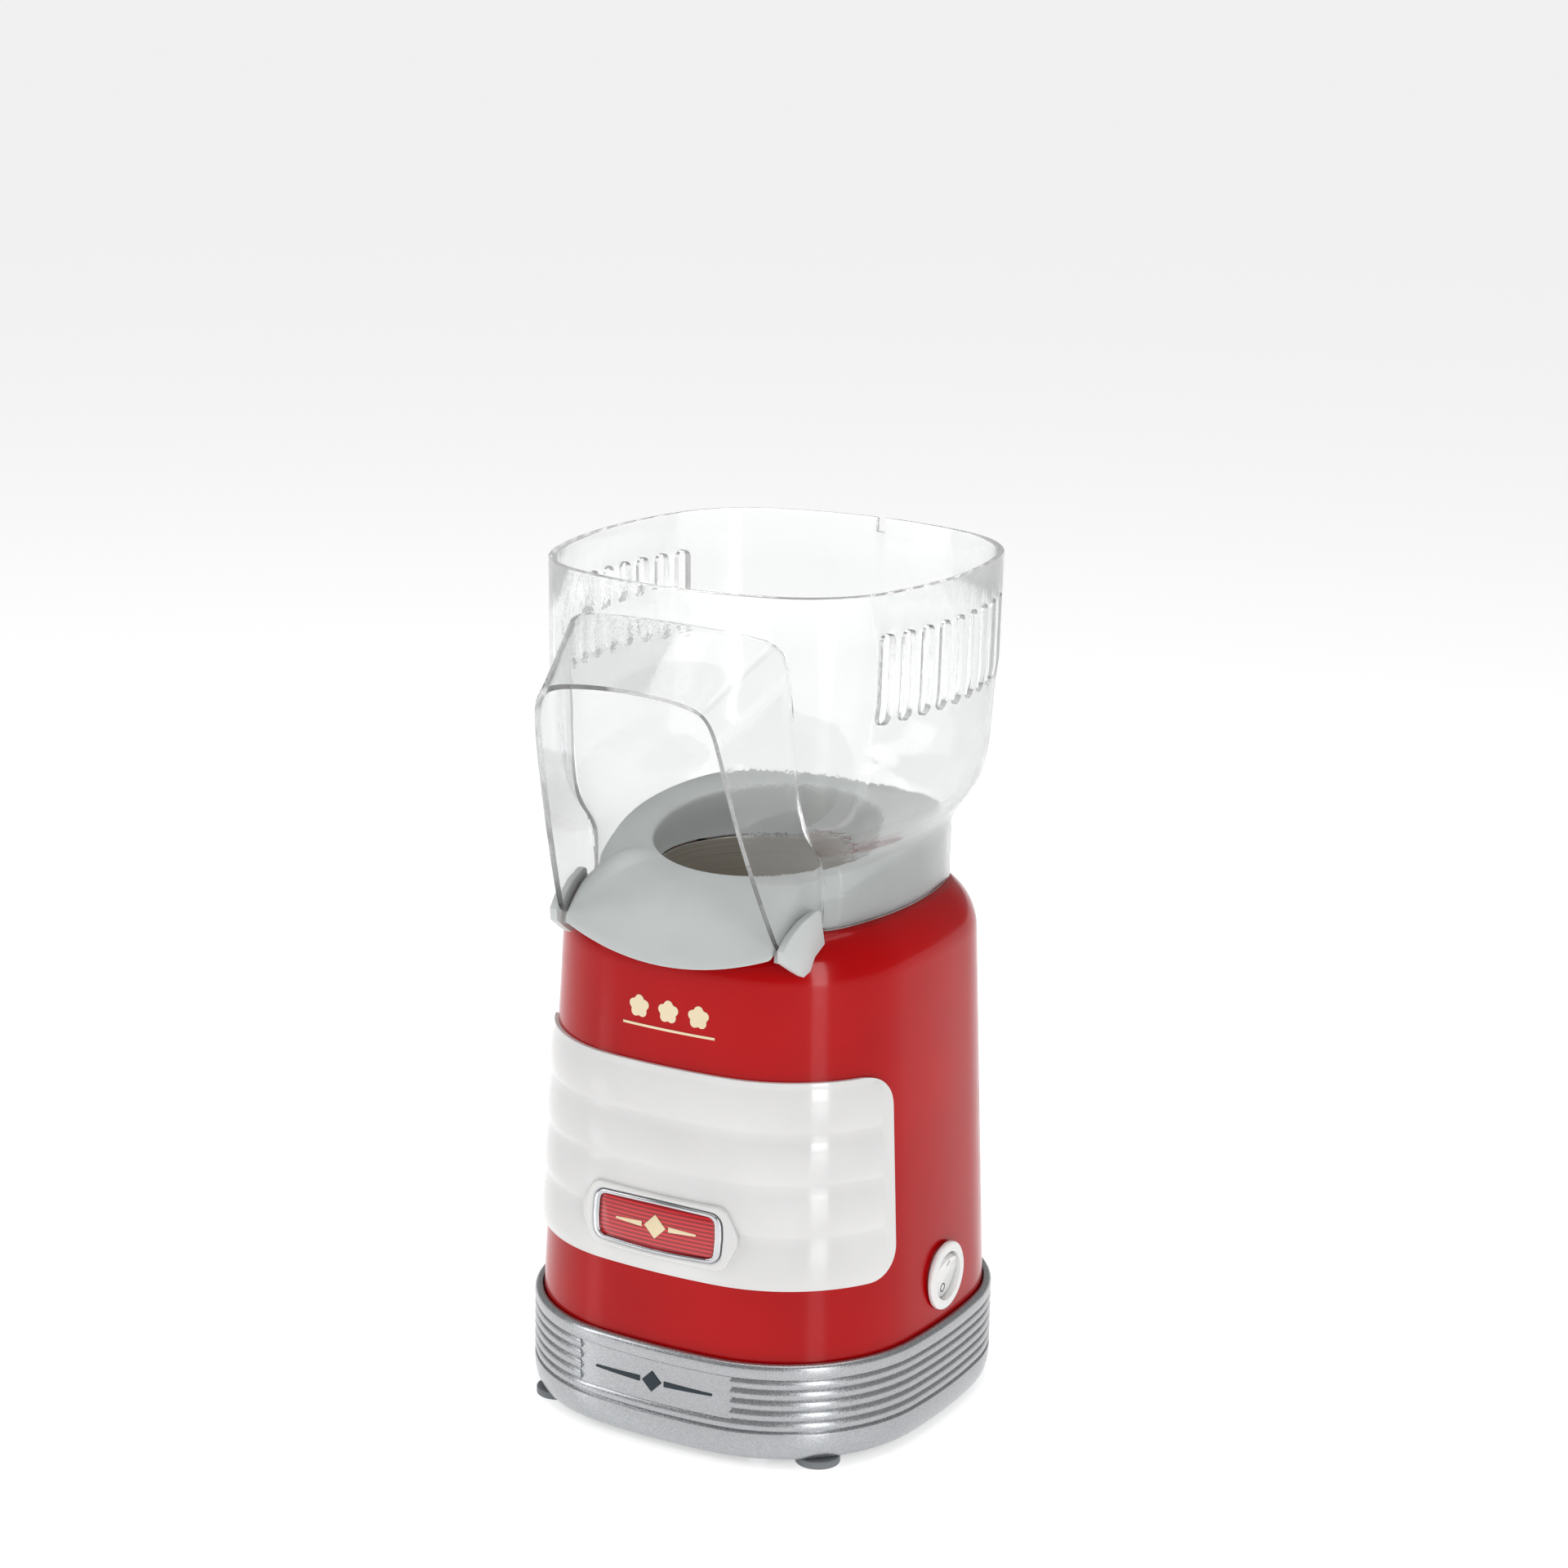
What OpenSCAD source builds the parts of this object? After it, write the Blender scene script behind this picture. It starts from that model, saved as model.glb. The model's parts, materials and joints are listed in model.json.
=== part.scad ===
// Hot-air popcorn maker: a rounded-square table-top body, a clear hood with a front chute,
// a grey chute tray, a round rocker switch, and the motor, fan, heater and popping chamber inside.
// Lengths in mm, +Z up, the front faces -Y, z = 0 is the table.

/* [Body] */
// Width of the housing at its foot
body_width = 136.9; // [110:0.1:170]
// Depth of the housing at its foot
body_depth = 138.6; // [110:0.1:170]
// Radius of the housing's corners in plan at its foot
body_corner = 51.2; // [46:0.1:56]
// How far each plan side bulges past its corner circles
body_bulge = 0.87; // [0.5:0.01:3]
// Height of the housing's foot above the table
housing_foot = 32.5; // [28:0.1:38]
// Height where the shoulder fillet starts
shoulder_start = 158; // [130:0.5:190]
// Radius of the shoulder fillet
shoulder_radius = 20; // [14:0.5:21]
// Inward draft of the housing wall, mm per mm of height
draft = 0.0475; // [0.02:0.0005:0.08]
// Wall thickness of the housing
housing_wall = 2.4; // [1.6:0.1:3.5]
// How far in from the foot outline the shoulder meets the deck
deck_inset = 15.1; // [13:0.1:18]

/* [Base] */
// Height of the silver base ring's top edge
ring_top = 36.2; // [33:0.1:42]
// How far the ring's beads stand outside the housing outline
ring_swell = 2.9; // [1.5:0.1:5]
// Height of one horizontal bead
bead_pitch = 3.6; // [2.5:0.1:5]
// Depth of the groove between two beads
bead_groove = 0.8; // [0.3:0.1:1.5]
// Height of the ring's bottom edge
ring_bottom = 2.6; // [2:0.1:5]
// Half width of the smooth field on the ring's front
name_half = 29; // [15:0.5:40]
// Radius of each foot
foot_radius = 7.3; // [4:0.1:10]
// Distance of each foot's centre in from the body's side
foot_side = 18.45; // [15:0.05:28]
// Distance of each foot's centre in from the body's front or back
foot_front = 19.3; // [15:0.05:28]
// Thickness of the base plate
plate_thick = 2.4; // [1.5:0.1:4]

/* [Front panel and badge] */
// Height of the white panel's lower edge
panel_low = 60.5; // [50:0.1:75]
// Height of the white panel's upper edge
panel_high = 129; // [110:0.1:145]
// How far back the panel wraps, as a Y position
panel_back = -29.5; // [-45:0.5:-10]
// Corner radius of the panel's edge
panel_corner = 11; // [4:0.5:20]
// Thickness of the panel at a wave's trough
panel_trough = 1.2; // [0.8:0.1:2]
// Thickness of the panel at a wave's crest
panel_crest = 2.1; // [1.4:0.1:3.5]
// Height of the badge's centre
badge_z = 76.5; // [70:0.1:110]
// Half width of the badge's white bezel
badge_half = 28.8; // [20:0.1:36]
// Half height of the badge's white bezel
badge_tall = 11; // [8:0.1:15]

/* [Hood] */
// Width of the hood at its rim
hood_width = 133.7; // [110:0.1:160]
// Depth of the hood at its rim, without the chute
hood_depth = 140.6; // [110:0.1:160]
// Radius of the hood's corners at the rim
hood_corner = 39.7; // [30:0.1:48]
// How far each side of the hood bulges
hood_bulge = 3.89; // [1.5:0.01:5]
// Height of the hood's rim above the table
hood_top = 285; // [275:0.5:330]
// Wall thickness of the hood
hood_wall = 2; // [1.5:0.1:3]
// Inset of the hood's lower skirt from the rim outline
skirt_inset = 14.35; // [12:0.05:16]
// Number of vent slots in each side wall
slot_count = 9; // [3:1:11]
// Distance between two vent slots
slot_pitch = 9.4; // [7:0.1:12]
// Width of one vent slot
slot_width = 5.2; // [3:0.1:7]
// Height of one vent slot
slot_height = 29; // [15:0.5:36]
// Width of the notch in the rim at the back
notch_width = 3; // [1.5:0.1:6]
// Depth of the notch in the rim at the back
notch_depth = 5; // [2:0.1:9]
// How far the chute reaches in front of the body's axis
chute_reach = 94; // [84:0.1:104]
// Height of the top of the chute's mouth
chute_high = 257.6; // [240:0.1:268]

/* [Chute tray] */
// Radius of the hole over the popping chamber
hole_radius = 37.5; // [30:0.1:39]
// Height of the hole's centre
hole_height = 193.5; // [188:0.1:200]
// Forward tilt of the hole's rim
hole_tilt = 9; // [0:0.5:14]
// Thickness of the tray
tray_wall = 2; // [1.5:0.1:3]
// Height of the middle of the front lip
lip_height = 164.6; // [160:0.1:172]
// Clearance between the tray's wall and the hood's skirt
hood_fit = 0.4; // [0.3:0.05:1]

/* [Switch] */
// Height of the switch's centre
switch_z = 51; // [46:0.1:54]
// Radius of the switch's round flange
switch_flange = 11.5; // [9:0.1:14]
// Radius of the switch's barrel in its panel hole
switch_barrel = 10; // [8:0.1:12]
// Half width of the rocker
rocker_half = 7.5; // [6:0.1:7.6]
// Half height of the rocker
rocker_tall = 7.6; // [6:0.1:8.4]
// Angle between the rocker's off and on positions
rocker_throw = 24; // [12:1:30]

/* [Popping chamber and heater] */
// Y position of the axis of the chamber, heater, fan and motor
core_y = -3; // [-8:0.5:4]
// Inner radius of the popping chamber
chamber_radius = 36; // [30:0.1:37]
// Height of the chamber's floor
chamber_floor = 106; // [98:0.5:120]
// Thickness of the chamber's sheet metal
chamber_sheet = 0.8; // [0.5:0.1:1.5]
// Number of swirl vents round the chamber's foot
vent_count = 20; // [8:1:28]
// Inner radius of the heater duct
duct_radius = 33; // [28:0.1:35]
// Thickness of the heater duct's sheet
duct_sheet = 0.6; // [0.4:0.1:1]
// Radius of the heater wire
wire_radius = 0.8; // [0.4:0.1:1.2]
// Number of heater turns
heater_turns = 4; // [2:1:5]

/* [Fan and motor] */
// Radius of the fan
fan_radius = 30; // [24:0.1:31]
// Number of fan blades
fan_blades = 9; // [5:1:12]
// Radius of the motor's can
motor_radius = 14; // [12:0.1:16]
// Height of the motor can's bottom
motor_low = 17; // [14:0.5:20]
// Length of the motor's can
motor_length = 31; // [28:0.5:32]
// Radius of the motor's shaft
shaft_radius = 1.15; // [0.8:0.05:1.6]
// Running clearance of the shaft in its bushings
shaft_play = 0.05; // [0.01:0.01:0.1]
// Number of armature poles
pole_count = 3; // [3:1:7]

/* [Wiring] */
// Radius of an insulated lead
lead_radius = 1.1; // [0.8:0.1:1.6]
// Radius of the cord's hole through the gland
cord_radius = 3.6; // [2.8:0.1:4.5]
// Height of the cord gland
gland_z = 46; // [43:0.5:56]

/* [Hidden] */

ring_depth = body_depth / 2 + ring_swell;
axis_y = (chute_reach - ring_depth) / 2;
body = [body_width / 2, body_depth / 2, body_corner, body_bulge];
hood_o = [hood_width / 2, hood_depth / 2, hood_corner, hood_bulge];
shoulder_in = draft * (shoulder_start - housing_foot);
fillet_c = shoulder_in + shoulder_radius;
deck_z = shoulder_start + sqrt(pow(shoulder_radius, 2) - pow(fillet_c - deck_inset, 2));
skirt_low = deck_z + 0.4;
tray_inset = skirt_inset + hood_wall + hood_fit;
side_x = body_width / 2 - draft * (switch_z - housing_foot);
seat_y = body_depth / 2 - draft * (gland_z - housing_foot);
panel_gap = 0.02;
corner_steps = 9;

// ---- plan outline made of eight tangent arcs: o = [half width, half depth, corner, bulge] ----

function grow(o, d) = [o[0] + d, o[1] + d, o[2] + d, o[3]];
function cx(o) = o[0] - o[2] - o[3];
function cy(o) = o[1] - o[2] - o[3];
function big(a, c, other, r) = (r * r - other * other - (c - a) * (c - a)) / (2 * (c - a + r));
function rx(o) = big(o[0], cx(o), cy(o), o[2]);
function ry(o) = big(o[1], cy(o), cx(o), o[2]);
function ax(o) = atan2(cy(o), cx(o) - (o[0] - rx(o)));
function ay(o) = atan2(cy(o) - (o[1] - ry(o)), cx(o));
function front_y(o, x) = -(o[1] - ry(o) + sqrt(ry(o) * ry(o) - x * x));

function quarter(o, n) = concat(
    [for (i = [0:1]) let (a = ax(o) * i / 2) [o[0] - rx(o) + rx(o) * cos(a), rx(o) * sin(a)]],
    [for (i = [0:n - 1]) let (a = ax(o) + (ay(o) - ax(o)) * i / n)
        [cx(o) + o[2] * cos(a), cy(o) + o[2] * sin(a)]],
    [for (i = [0:2]) let (a = ay(o) + (90 - ay(o)) * i / 3)
        [ry(o) * cos(a), o[1] - ry(o) + ry(o) * sin(a)]]);
function spin_pt(p, q) = q == 0 ? p : q == 1 ? [-p[0], p[1]] : q == 2 ? [-p[0], -p[1]] : [p[0], -p[1]];
function reversed(v) = [for (i = [len(v) - 1:-1:0]) v[i]];
function outline(o, n) = let (q = quarter(o, n)) concat(
    q,
    [[0, o[1]]],
    [for (p = reversed([for (i = [1:len(q) - 1]) q[i]])) spin_pt(p, 1)],
    [spin_pt(q[0], 1)],
    [for (i = [1:len(q) - 1]) spin_pt(q[i], 2)],
    [[0, -o[1]]],
    [for (p = reversed([for (i = [1:len(q) - 1]) q[i]])) spin_pt(p, 3)]);

function turn(v) = let (n = len(v)) [for (i = [0:n - 1]) cross(v[i], v[(i + 1) % n])] * [for (p = v) 1];

// A wall round the outline: profile is its section, each point as [distance outwards, height].
module wall(o, profile) {
    sec = turn(profile) < 0 ? profile : reversed(profile);
    plans = [for (q = sec) outline(grow(o, q[0]), corner_steps)];
    ring_mesh([for (k = [0:len(plans[0]) - 1]) [for (j = [0:len(sec) - 1])
        [plans[j][k][0], plans[j][k][1], sec[j][1]]]]);
}

// A closed ring of equal closed sections.
module ring_mesh(rows) {
    n = len(rows);
    m = len(rows[0]);
    polyhedron(points = [for (r = rows) for (p = r) p], faces = concat(
        [for (i = [0:n - 1]) for (j = [0:m - 1]) let (k = (i + 1) % n, l = (j + 1) % m)
            [i * m + j, k * m + j, k * m + l]],
        [for (i = [0:n - 1]) for (j = [0:m - 1]) let (k = (i + 1) % n, l = (j + 1) % m)
            [i * m + j, k * m + l, i * m + l]]));
}

module slab(o, z0, z1) {
    translate([0, 0, z0]) linear_extrude(z1 - z0) polygon(outline(o, corner_steps));
}

function arc_pts(c, r, a0, a1, n) = [for (i = [0:n]) let (a = a0 + (a1 - a0) * i / n)
    [c[0] + r * cos(a), c[1] + r * sin(a)]];

// A section of the housing's skin between two distances outside it, for trim laid on the housing.
module skin(d0, d1, z0, z1) {
    wall(body, [[d0 - draft * (z0 - housing_foot), z0], [d1 - draft * (z0 - housing_foot), z0],
                [d1 - draft * (z1 - housing_foot), z1], [d0 - draft * (z1 - housing_foot), z1]]);
}

module at_front(z) {
    translate([0, 0, z]) rotate([90, 0, 0]) children();
}

module front_block(depth) {
    linear_extrude(depth) children();
}

// A smooth path through the points, and a round tube along it; ref is never parallel to the path.
function spline(p) = let (n = len(p) - 1) concat(
    [for (i = [0:n - 1]) for (k = [0:4]) let (t = k / 5, a = p[max(i - 1, 0)], b = p[i], c = p[i + 1],
        d = p[min(i + 2, n)])
        0.5 * (2 * b + (c - a) * t + (2 * a - 5 * b + 4 * c - d) * t * t
            + (3 * b - a - 3 * c + d) * t * t * t)],
    [p[n]]);
function unit(v) = v / norm(v);

module pipe(pts, r, ref = [0, 0, 1]) {
    m = 10;
    q = spline(pts);
    n = len(q);
    rings = [for (i = [0:n - 1]) let (t = unit(q[min(i + 1, n - 1)] - q[max(i - 1, 0)]),
        u = unit(cross(t, ref)), v = cross(t, u))
        [for (k = [0:m - 1]) q[i] + r * (u * cos(k * 36) + v * sin(k * 36))]];
    polyhedron(points = [for (g = rings) for (p = g) p], faces = concat(
        [for (i = [0:n - 2]) for (k = [0:m - 1]) let (l = (k + 1) % m) [i * m + k, (i + 1) * m + l, i * m + l]],
        [for (i = [0:n - 2]) for (k = [0:m - 1]) let (l = (k + 1) % m)
            [i * m + k, (i + 1) * m + k, (i + 1) * m + l]],
        [[for (k = [0:m - 1]) k]],
        [[for (k = [m - 1:-1:0]) (n - 1) * m + k]]));
}

module place() {
    translate([0, axis_y, 0]) children();
}

module core() {
    translate([0, core_y, 0]) children();
}

// ---- outside ----

function housing_section() = let (w = housing_wall) concat(
        [[0, housing_foot], [-shoulder_in, shoulder_start]],
        arc_pts([-fillet_c, shoulder_start], shoulder_radius, 4,
                acos((fillet_c - deck_inset) / shoulder_radius), 9),
        [[-deck_inset - 7.5, deck_z], [-deck_inset - 7.5, deck_z - w]],
        reversed(arc_pts([-fillet_c, shoulder_start], shoulder_radius - w, 0,
                acos((fillet_c - deck_inset) / shoulder_radius) - 2, 9)),
        [[-w, housing_foot]]);

boss_r = 5;
boss_at = [cx(body) + (body_corner - housing_wall - boss_r + 0.4) * cos(68),
           cy(body) + (body_corner - housing_wall - boss_r + 0.4) * sin(68)];

module corners(p) {
    for (sx = [-1, 1]) {
        for (sy = [-1, 1]) {
            translate([sx * p[0], sy * p[1], 0]) children();
        }
    }
}

deck_hole = chamber_radius + 5.5;

module housing() {
    color("#C8101E") place() difference() {
        union() {
            wall(body, housing_section());
            slab(grow(body, -deck_inset - 7), deck_z - housing_wall, deck_z);
            intersection() {
                corners(boss_at) translate([0, 0, ring_bottom + plate_thick + 0.1])
                    cylinder(h = 44, r = boss_r, $fn = 48);
                union() {
                    slab(grow(body, -2.8), 0, housing_foot + 0.01);
                    slab(grow(body, -1.2), housing_foot, 90);
                }
            }
        }
        corners(boss_at) translate([0, 0, 0]) cylinder(h = 22, r = 1.7, $fn = 32);
        core() translate([0, 0, deck_z - 8]) cylinder(h = 20, r = deck_hole, $fn = 128);
        core() chamber_screw_at() translate([0, 0, deck_z - 6]) cylinder(h = 10, r = 1.3, $fn = 32);
        translate([side_x - 15, 0, switch_z]) rotate([0, 90, 0])
            cylinder(h = 30, r = switch_barrel + 0.1, $fn = 96);
        translate([0, seat_y + 10, gland_z]) rotate([90, 0, 0])
            cylinder(h = 20, r = cord_radius + 3.1, $fn = 64);
        chute_cut();
    }
}

// The front of the shoulder is cut away under the tray's ramp and cheeks.
module chute_cut() {
    translate([-46.6, 0, 0]) rotate([90, 0, 90]) linear_extrude(93.2)
        polygon([[-47.5, deck_z + 3], [-47.5, deck_z - 1.2], [-62, 166.3], [-80, 151], [-80, 190]]);
    for (s = [0, 1]) {
        mirror([s, 0, 0]) cheek_place() translate([-0.5, 0, 0]) rotate([90, 0, 90])
            linear_extrude(8) polygon(cheek_shape(0.5));
    }
}

module panel_window() {
    r = panel_corner;
    h = panel_high - panel_low;
    translate([-80, 0, panel_low]) rotate([90, 0, 90]) linear_extrude(160) union() {
        translate([-90, 0]) square([90 + panel_back - r, h]);
        translate([-90, r]) square([90 + panel_back, h - 2 * r]);
        translate([panel_back - r, r]) circle(r = r, $fn = 64);
        translate([panel_back - r, h - r]) circle(r = r, $fn = 64);
    }
}

function panel_section() = let (h = (panel_high - panel_low) / 4, n = 6) concat(
        [for (i = [0:4 * n]) let (z = panel_low + i * h / n, u = (i % n) / n)
            [panel_trough + (panel_crest - panel_trough) * sin(180 * pow(u, 0.8))
             - draft * (z - housing_foot), z]],
        [[panel_gap - draft * (panel_high - housing_foot), panel_high],
         [panel_gap - draft * (panel_low - housing_foot), panel_low]]);

// A wide badge outline whose ends come to a blunt point at mid height.
module badge_shape(w, h, tip, r) {
    k = w - tip;
    polygon(concat(
        arc_pts([k - r, h - r], r, 72, 22, 5),
        [[w, 1.6], [w, -1.6]],
        arc_pts([k - r, -h + r], r, -22, -72, 5),
        arc_pts([-k + r, -h + r], r, 252, 202, 5),
        [[-w, -1.6], [-w, 1.6]],
        arc_pts([-k + r, h - r], r, 158, 108, 5)));
}

badge_base = 1.35;
badge_low = badge_z - badge_tall - 2;
badge_up = badge_z + badge_tall + 2;

module badge_part(d0, d1) {
    intersection() {
        skin(d0, d1, badge_low, badge_up);
        at_front(badge_z) front_block(90) children();
    }
}

module front_panel() {
    color("#F4F3F1") place() difference() {
        intersection() {
            wall(body, panel_section());
            panel_window();
        }
        badge_part(badge_base - 0.02, 6) badge_shape(badge_half + 0.05, badge_tall + 0.05, 2.6, 5);
    }
}

module badge_bezel() {
    color("#F4F3F1") place() badge_part(badge_base, 3.3) difference() {
        badge_shape(badge_half, badge_tall, 2.6, 5);
        badge_shape(badge_half - 5.2, badge_tall - 2.3, 2.2, 4);
    }
}

module badge_frame() {
    color("#B9BBBE") place() badge_part(badge_base, 3.9) difference() {
        badge_shape(badge_half - 5.25, badge_tall - 2.35, 2.2, 4);
        badge_shape(badge_half - 7.6, badge_tall - 3.4, 1.8, 3.4);
    }
}

module badge_plate() {
    color("#C8101E") place() badge_part(badge_base, 3) {
        badge_shape(badge_half - 7.65, badge_tall - 3.45, 1.8, 3.4);
    }
}

// Generic ornament: a lozenge between two tapering bars.
module lozenge_motif(w, h) {
    polygon([[-h, 0], [0, h], [h, 0], [0, -h]]);
    for (s = [-1, 1]) {
        polygon([[s * (h + 1), 0.9], [s * w, 0.35], [s * w, -0.35], [s * (h + 1), -0.9]]);
    }
}

module badge_emblem() {
    color("#F1E8D8") place() badge_part(3.02, 3.4) lozenge_motif(15, 4);
}

// Generic ornament: three popped puffs over a thin bar.
module puff_motif() {
    for (i = [-1, 0, 1]) {
        translate([i * 11, 1.2]) {
            for (k = [0:4]) {
                rotate(k * 72 + 90) translate([2.1, 0]) circle(r = 1.7, $fn = 32);
            }
            circle(r = 1.6, $fn = 32);
        }
    }
    translate([-17, -5.2]) square([34, 0.8]);
}

module front_ornament() {
    color("#F3DFB6") place() intersection() {
        skin(panel_gap, 0.22, 136, 153);
        at_front(145.5) front_block(90) puff_motif();
    }
}

bead_top = ring_top - 5.2;
bead_count = 5;

function ring_section() = let (s = ring_swell, g = bead_groove, low = bead_top - bead_count * bead_pitch)
    concat(
        [[0.3, ring_top], [1.3, ring_top - 0.1], [s - 0.5, ring_top - 1.3], [s, ring_top - 2.9],
         [s - 0.1, bead_top + 0.7], [s - g, bead_top]],
        [for (i = [0:bead_count - 1]) for (q = [[g * 0.35, 0.22], [0, 0.5], [g * 0.35, 0.8], [g, 1]])
            [s - q[0], bead_top - (i + q[1]) * bead_pitch]],
        [[s, low - 0.9], [s, low - 3], [s - 0.5, low - 6], [s - 1.6, low - 8.2], [0, ring_bottom + 0.6],
         [-1.5, ring_bottom], [-2.5, ring_bottom], [-2.5, housing_foot], [0.3, housing_foot]]);

module name_field(d0, d1, half) {
    z0 = bead_top - 4 * bead_pitch - 0.2;
    z1 = bead_top - 0.1;
    intersection() {
        wall(body, [[d0, z0], [d1, z0], [d1, z1], [d0, z1]]);
        translate([-half, -100, 0]) cube([2 * half, 60, 60]);
    }
}

module base_ring() {
    color("#A9ABAE") place() difference() {
        wall(body, ring_section());
        name_field(ring_swell - bead_groove - 0.1, 6, name_half);
    }
}

module base_emblem() {
    z0 = bead_top - 2 * bead_pitch - 0.2;
    d = ring_swell - bead_groove - 0.08;
    color("#26323A") place() intersection() {
        wall(body, [[d, z0 - 5], [d + 0.3, z0 - 5], [d + 0.3, z0 + 5], [d, z0 + 5]]);
        at_front(z0) front_block(90) lozenge_motif(22, 3.6);
    }
}

foot_at = [body_width / 2 - foot_side, body_depth / 2 - foot_front];
stem_at = foot_at - [2.5, 2.5];

module base_plate() {
    color("#2B2C2E") place() difference() {
        slab(grow(body, -2.6), ring_bottom, ring_bottom + plate_thick);
        corners(boss_at) translate([0, 0, -1]) cylinder(h = 12, r = 1.9, $fn = 32);
        corners(stem_at) translate([0, 0, -1]) cylinder(h = 12, r = 2.05, $fn = 32);
        for (i = [-3:3]) {
            translate([i * 8 - 2, core_y - (30 - abs(i) * 3), -1]) cube([4, 60 - abs(i) * 6, 12]);
        }
    }
}

module feet() {
    color("#8E9194") place() union() {
        corners(foot_at) cylinder(h = ring_bottom - 0.02, r = foot_radius, $fn = 64);
        corners(stem_at) cylinder(h = ring_bottom + plate_thick + 0.2, r = 2, $fn = 32);
    }
}

// ---- hood ----

// Inset of the hood's outer face from the rim outline, by height below the rim.
bowl = [[0.1, 284], [0.5, 250], [1.8, 239.5], [2.2, 228.5], [2.6, 223], [3.3, 217.4], [4.8, 211.4],
        [7.6, 205.8], [11.4, 200.4], [13.3, 197.6], [14.1, 195]];

function hood_section() = let (w = hood_wall, top = hood_top - 285) concat(
        [[-w * 0.75, hood_top], [-w * 0.25, hood_top], [0, hood_top - 0.5]],
        [for (p = bowl) [-p[0], p[1] + top * (p[1] - 195) / 90]],
        [[-skirt_inset, 192], [-skirt_inset, skirt_low], [-skirt_inset - w, skirt_low],
         [-skirt_inset - w, 192.2], [-14.2 - w, 195.4], [-13 - w * 0.9, 198.6], [-11.2 - w * 0.8, 201.6]],
        reversed([for (i = [0:7]) let (p = bowl[i])
            [-p[0] - w * (i > 5 ? 0.95 : 1), p[1] + (i > 4 ? w * 0.35 : 0) + top * (p[1] - 195) / 90]]),
        [[-w, hood_top - 0.5]]);

// Side planes of the chute: half width of its outer face at a given Y.
cheek_slope = 0.12;
function chute_x(y) = 43.4 + cheek_slope * (41 + y);

dy = chute_reach - 94;
dz = chute_high - 257.6;
mouth = [[40.9, -64.2, 172.6, 0], [40.1, -67.8, 180, 0], [38.1, -74.7, 196, 0], [37, -78.4, 205.5, 0],
         [35.8, -82.4, 216, 0], [34.4, -87.5 - dy * 0.5, 232, 0], [33.2, -90.8 - dy * 0.8, 244 + dz * 0.8, 6],
         [31.6, -92.3 - dy, 250 + dz, 24], [28.8, -93.1 - dy, 253.6 + dz, 48],
         [24.4, -93.5 - dy, 255.5 + dz, 70], [16, -93.8 - dy, 256.8 + dz, 84],
         [8, -94 - dy, 257.4 + dz, 88], [0, -94 - dy, 257.6 + dz, 90]];
root = [[43.4, -40.7, skirt_low, 0], [43.4, -40.7, 186, 0], [43.6, -44.9, 200, 0], [43.6, -51.2, 207, 0],
        [42.6, -56.6, 218, 0], [42.2, -58.4, 236, 0], [41.8, -60.1, 253, 6], [41.2, -60.7, 262, 20],
        [39.9, -61.3, 268, 40], [36.8, -62.6, 271.6, 62], [26, -65.9, 274, 80], [13, -68.2, 275, 88],
        [0, -68.9, 275.2, 90]];

function arch_side(v, d, s) = [for (p = v) [s * (p[0] - d * cos(p[3])), p[1], p[2] - d * sin(p[3])]];
function arch_line(v, d) = concat(
    arch_side(v, d, 1),
    reversed([for (i = [0:len(v) - 2]) arch_side(v, d, -1)[i]]));
function mix(a, b, t) = [for (i = [0:len(a) - 1]) a[i] * (1 - t) + b[i] * t];

module canopy() {
    n = 2 * len(mouth) - 1;
    steps = 4;
    outer = [for (j = [0:steps]) mix(arch_line(root, 0), arch_line(mouth, 0), j / steps)];
    inner = [for (j = [0:steps]) mix(arch_line(root, hood_wall), arch_line(mouth, hood_wall), j / steps)];
    m = n * (steps + 1);
    s = steps * n;
    quads = concat(
        [for (j = [0:steps - 1]) for (i = [0:n - 2])
            [j * n + i, (j + 1) * n + i, (j + 1) * n + i + 1, j * n + i + 1]],
        [for (j = [0:steps - 1]) for (i = [0:n - 2])
            [m + j * n + i, m + j * n + i + 1, m + (j + 1) * n + i + 1, m + (j + 1) * n + i]],
        [for (i = [0:n - 2]) [i, i + 1, m + i + 1, m + i]],
        [for (i = [0:n - 2]) [s + i, m + s + i, m + s + i + 1, s + i + 1]],
        [for (j = [0:steps - 1]) [j * n, m + j * n, m + (j + 1) * n, (j + 1) * n]],
        [for (j = [1:steps]) [j * n - 1, (j + 1) * n - 1, m + (j + 1) * n - 1, m + j * n - 1]]);
    polyhedron(points = concat([for (r = outer) for (p = r) p], [for (r = inner) for (p = r) p]),
               faces = concat([for (q = quads) [q[0], q[1], q[2]]], [for (q = quads) [q[0], q[2], q[3]]]));
}

module hood() {
    half = [[41.3, 160], [41.3, 196], [41.5, 201], [41.4, 207], [40.4, 218], [39.9, 253], [39, 262],
            [37.4, 267], [33.4, 270.3], [24, 272.2], [12, 272.9], [0, 273]];
    color([0.85, 0.9, 0.92, 0.35]) place() union() {
        difference() {
            wall(hood_o, hood_section());
            rotate([90, 0, 0]) linear_extrude(90) polygon(concat(
                half, reversed([for (i = [0:len(half) - 2]) [-half[i][0], half[i][1]]])));
            for (i = [0:slot_count - 1]) {
                translate([-80, 0.6 + (i - (slot_count - 1) / 2) * slot_pitch, 243 + slot_width / 2])
                    rotate([90, 0, 90]) linear_extrude(160) {
                        circle(r = slot_width / 2, $fn = 32);
                        translate([0, slot_height - slot_width]) circle(r = slot_width / 2, $fn = 32);
                        translate([-slot_width / 2, 0]) square([slot_width, slot_height - slot_width]);
                    }
            }
            translate([-notch_width / 2, 40, hood_top - notch_depth]) cube([notch_width, 60, 20]);
        }
        canopy();
    }
}

// ---- chute tray ----

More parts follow.
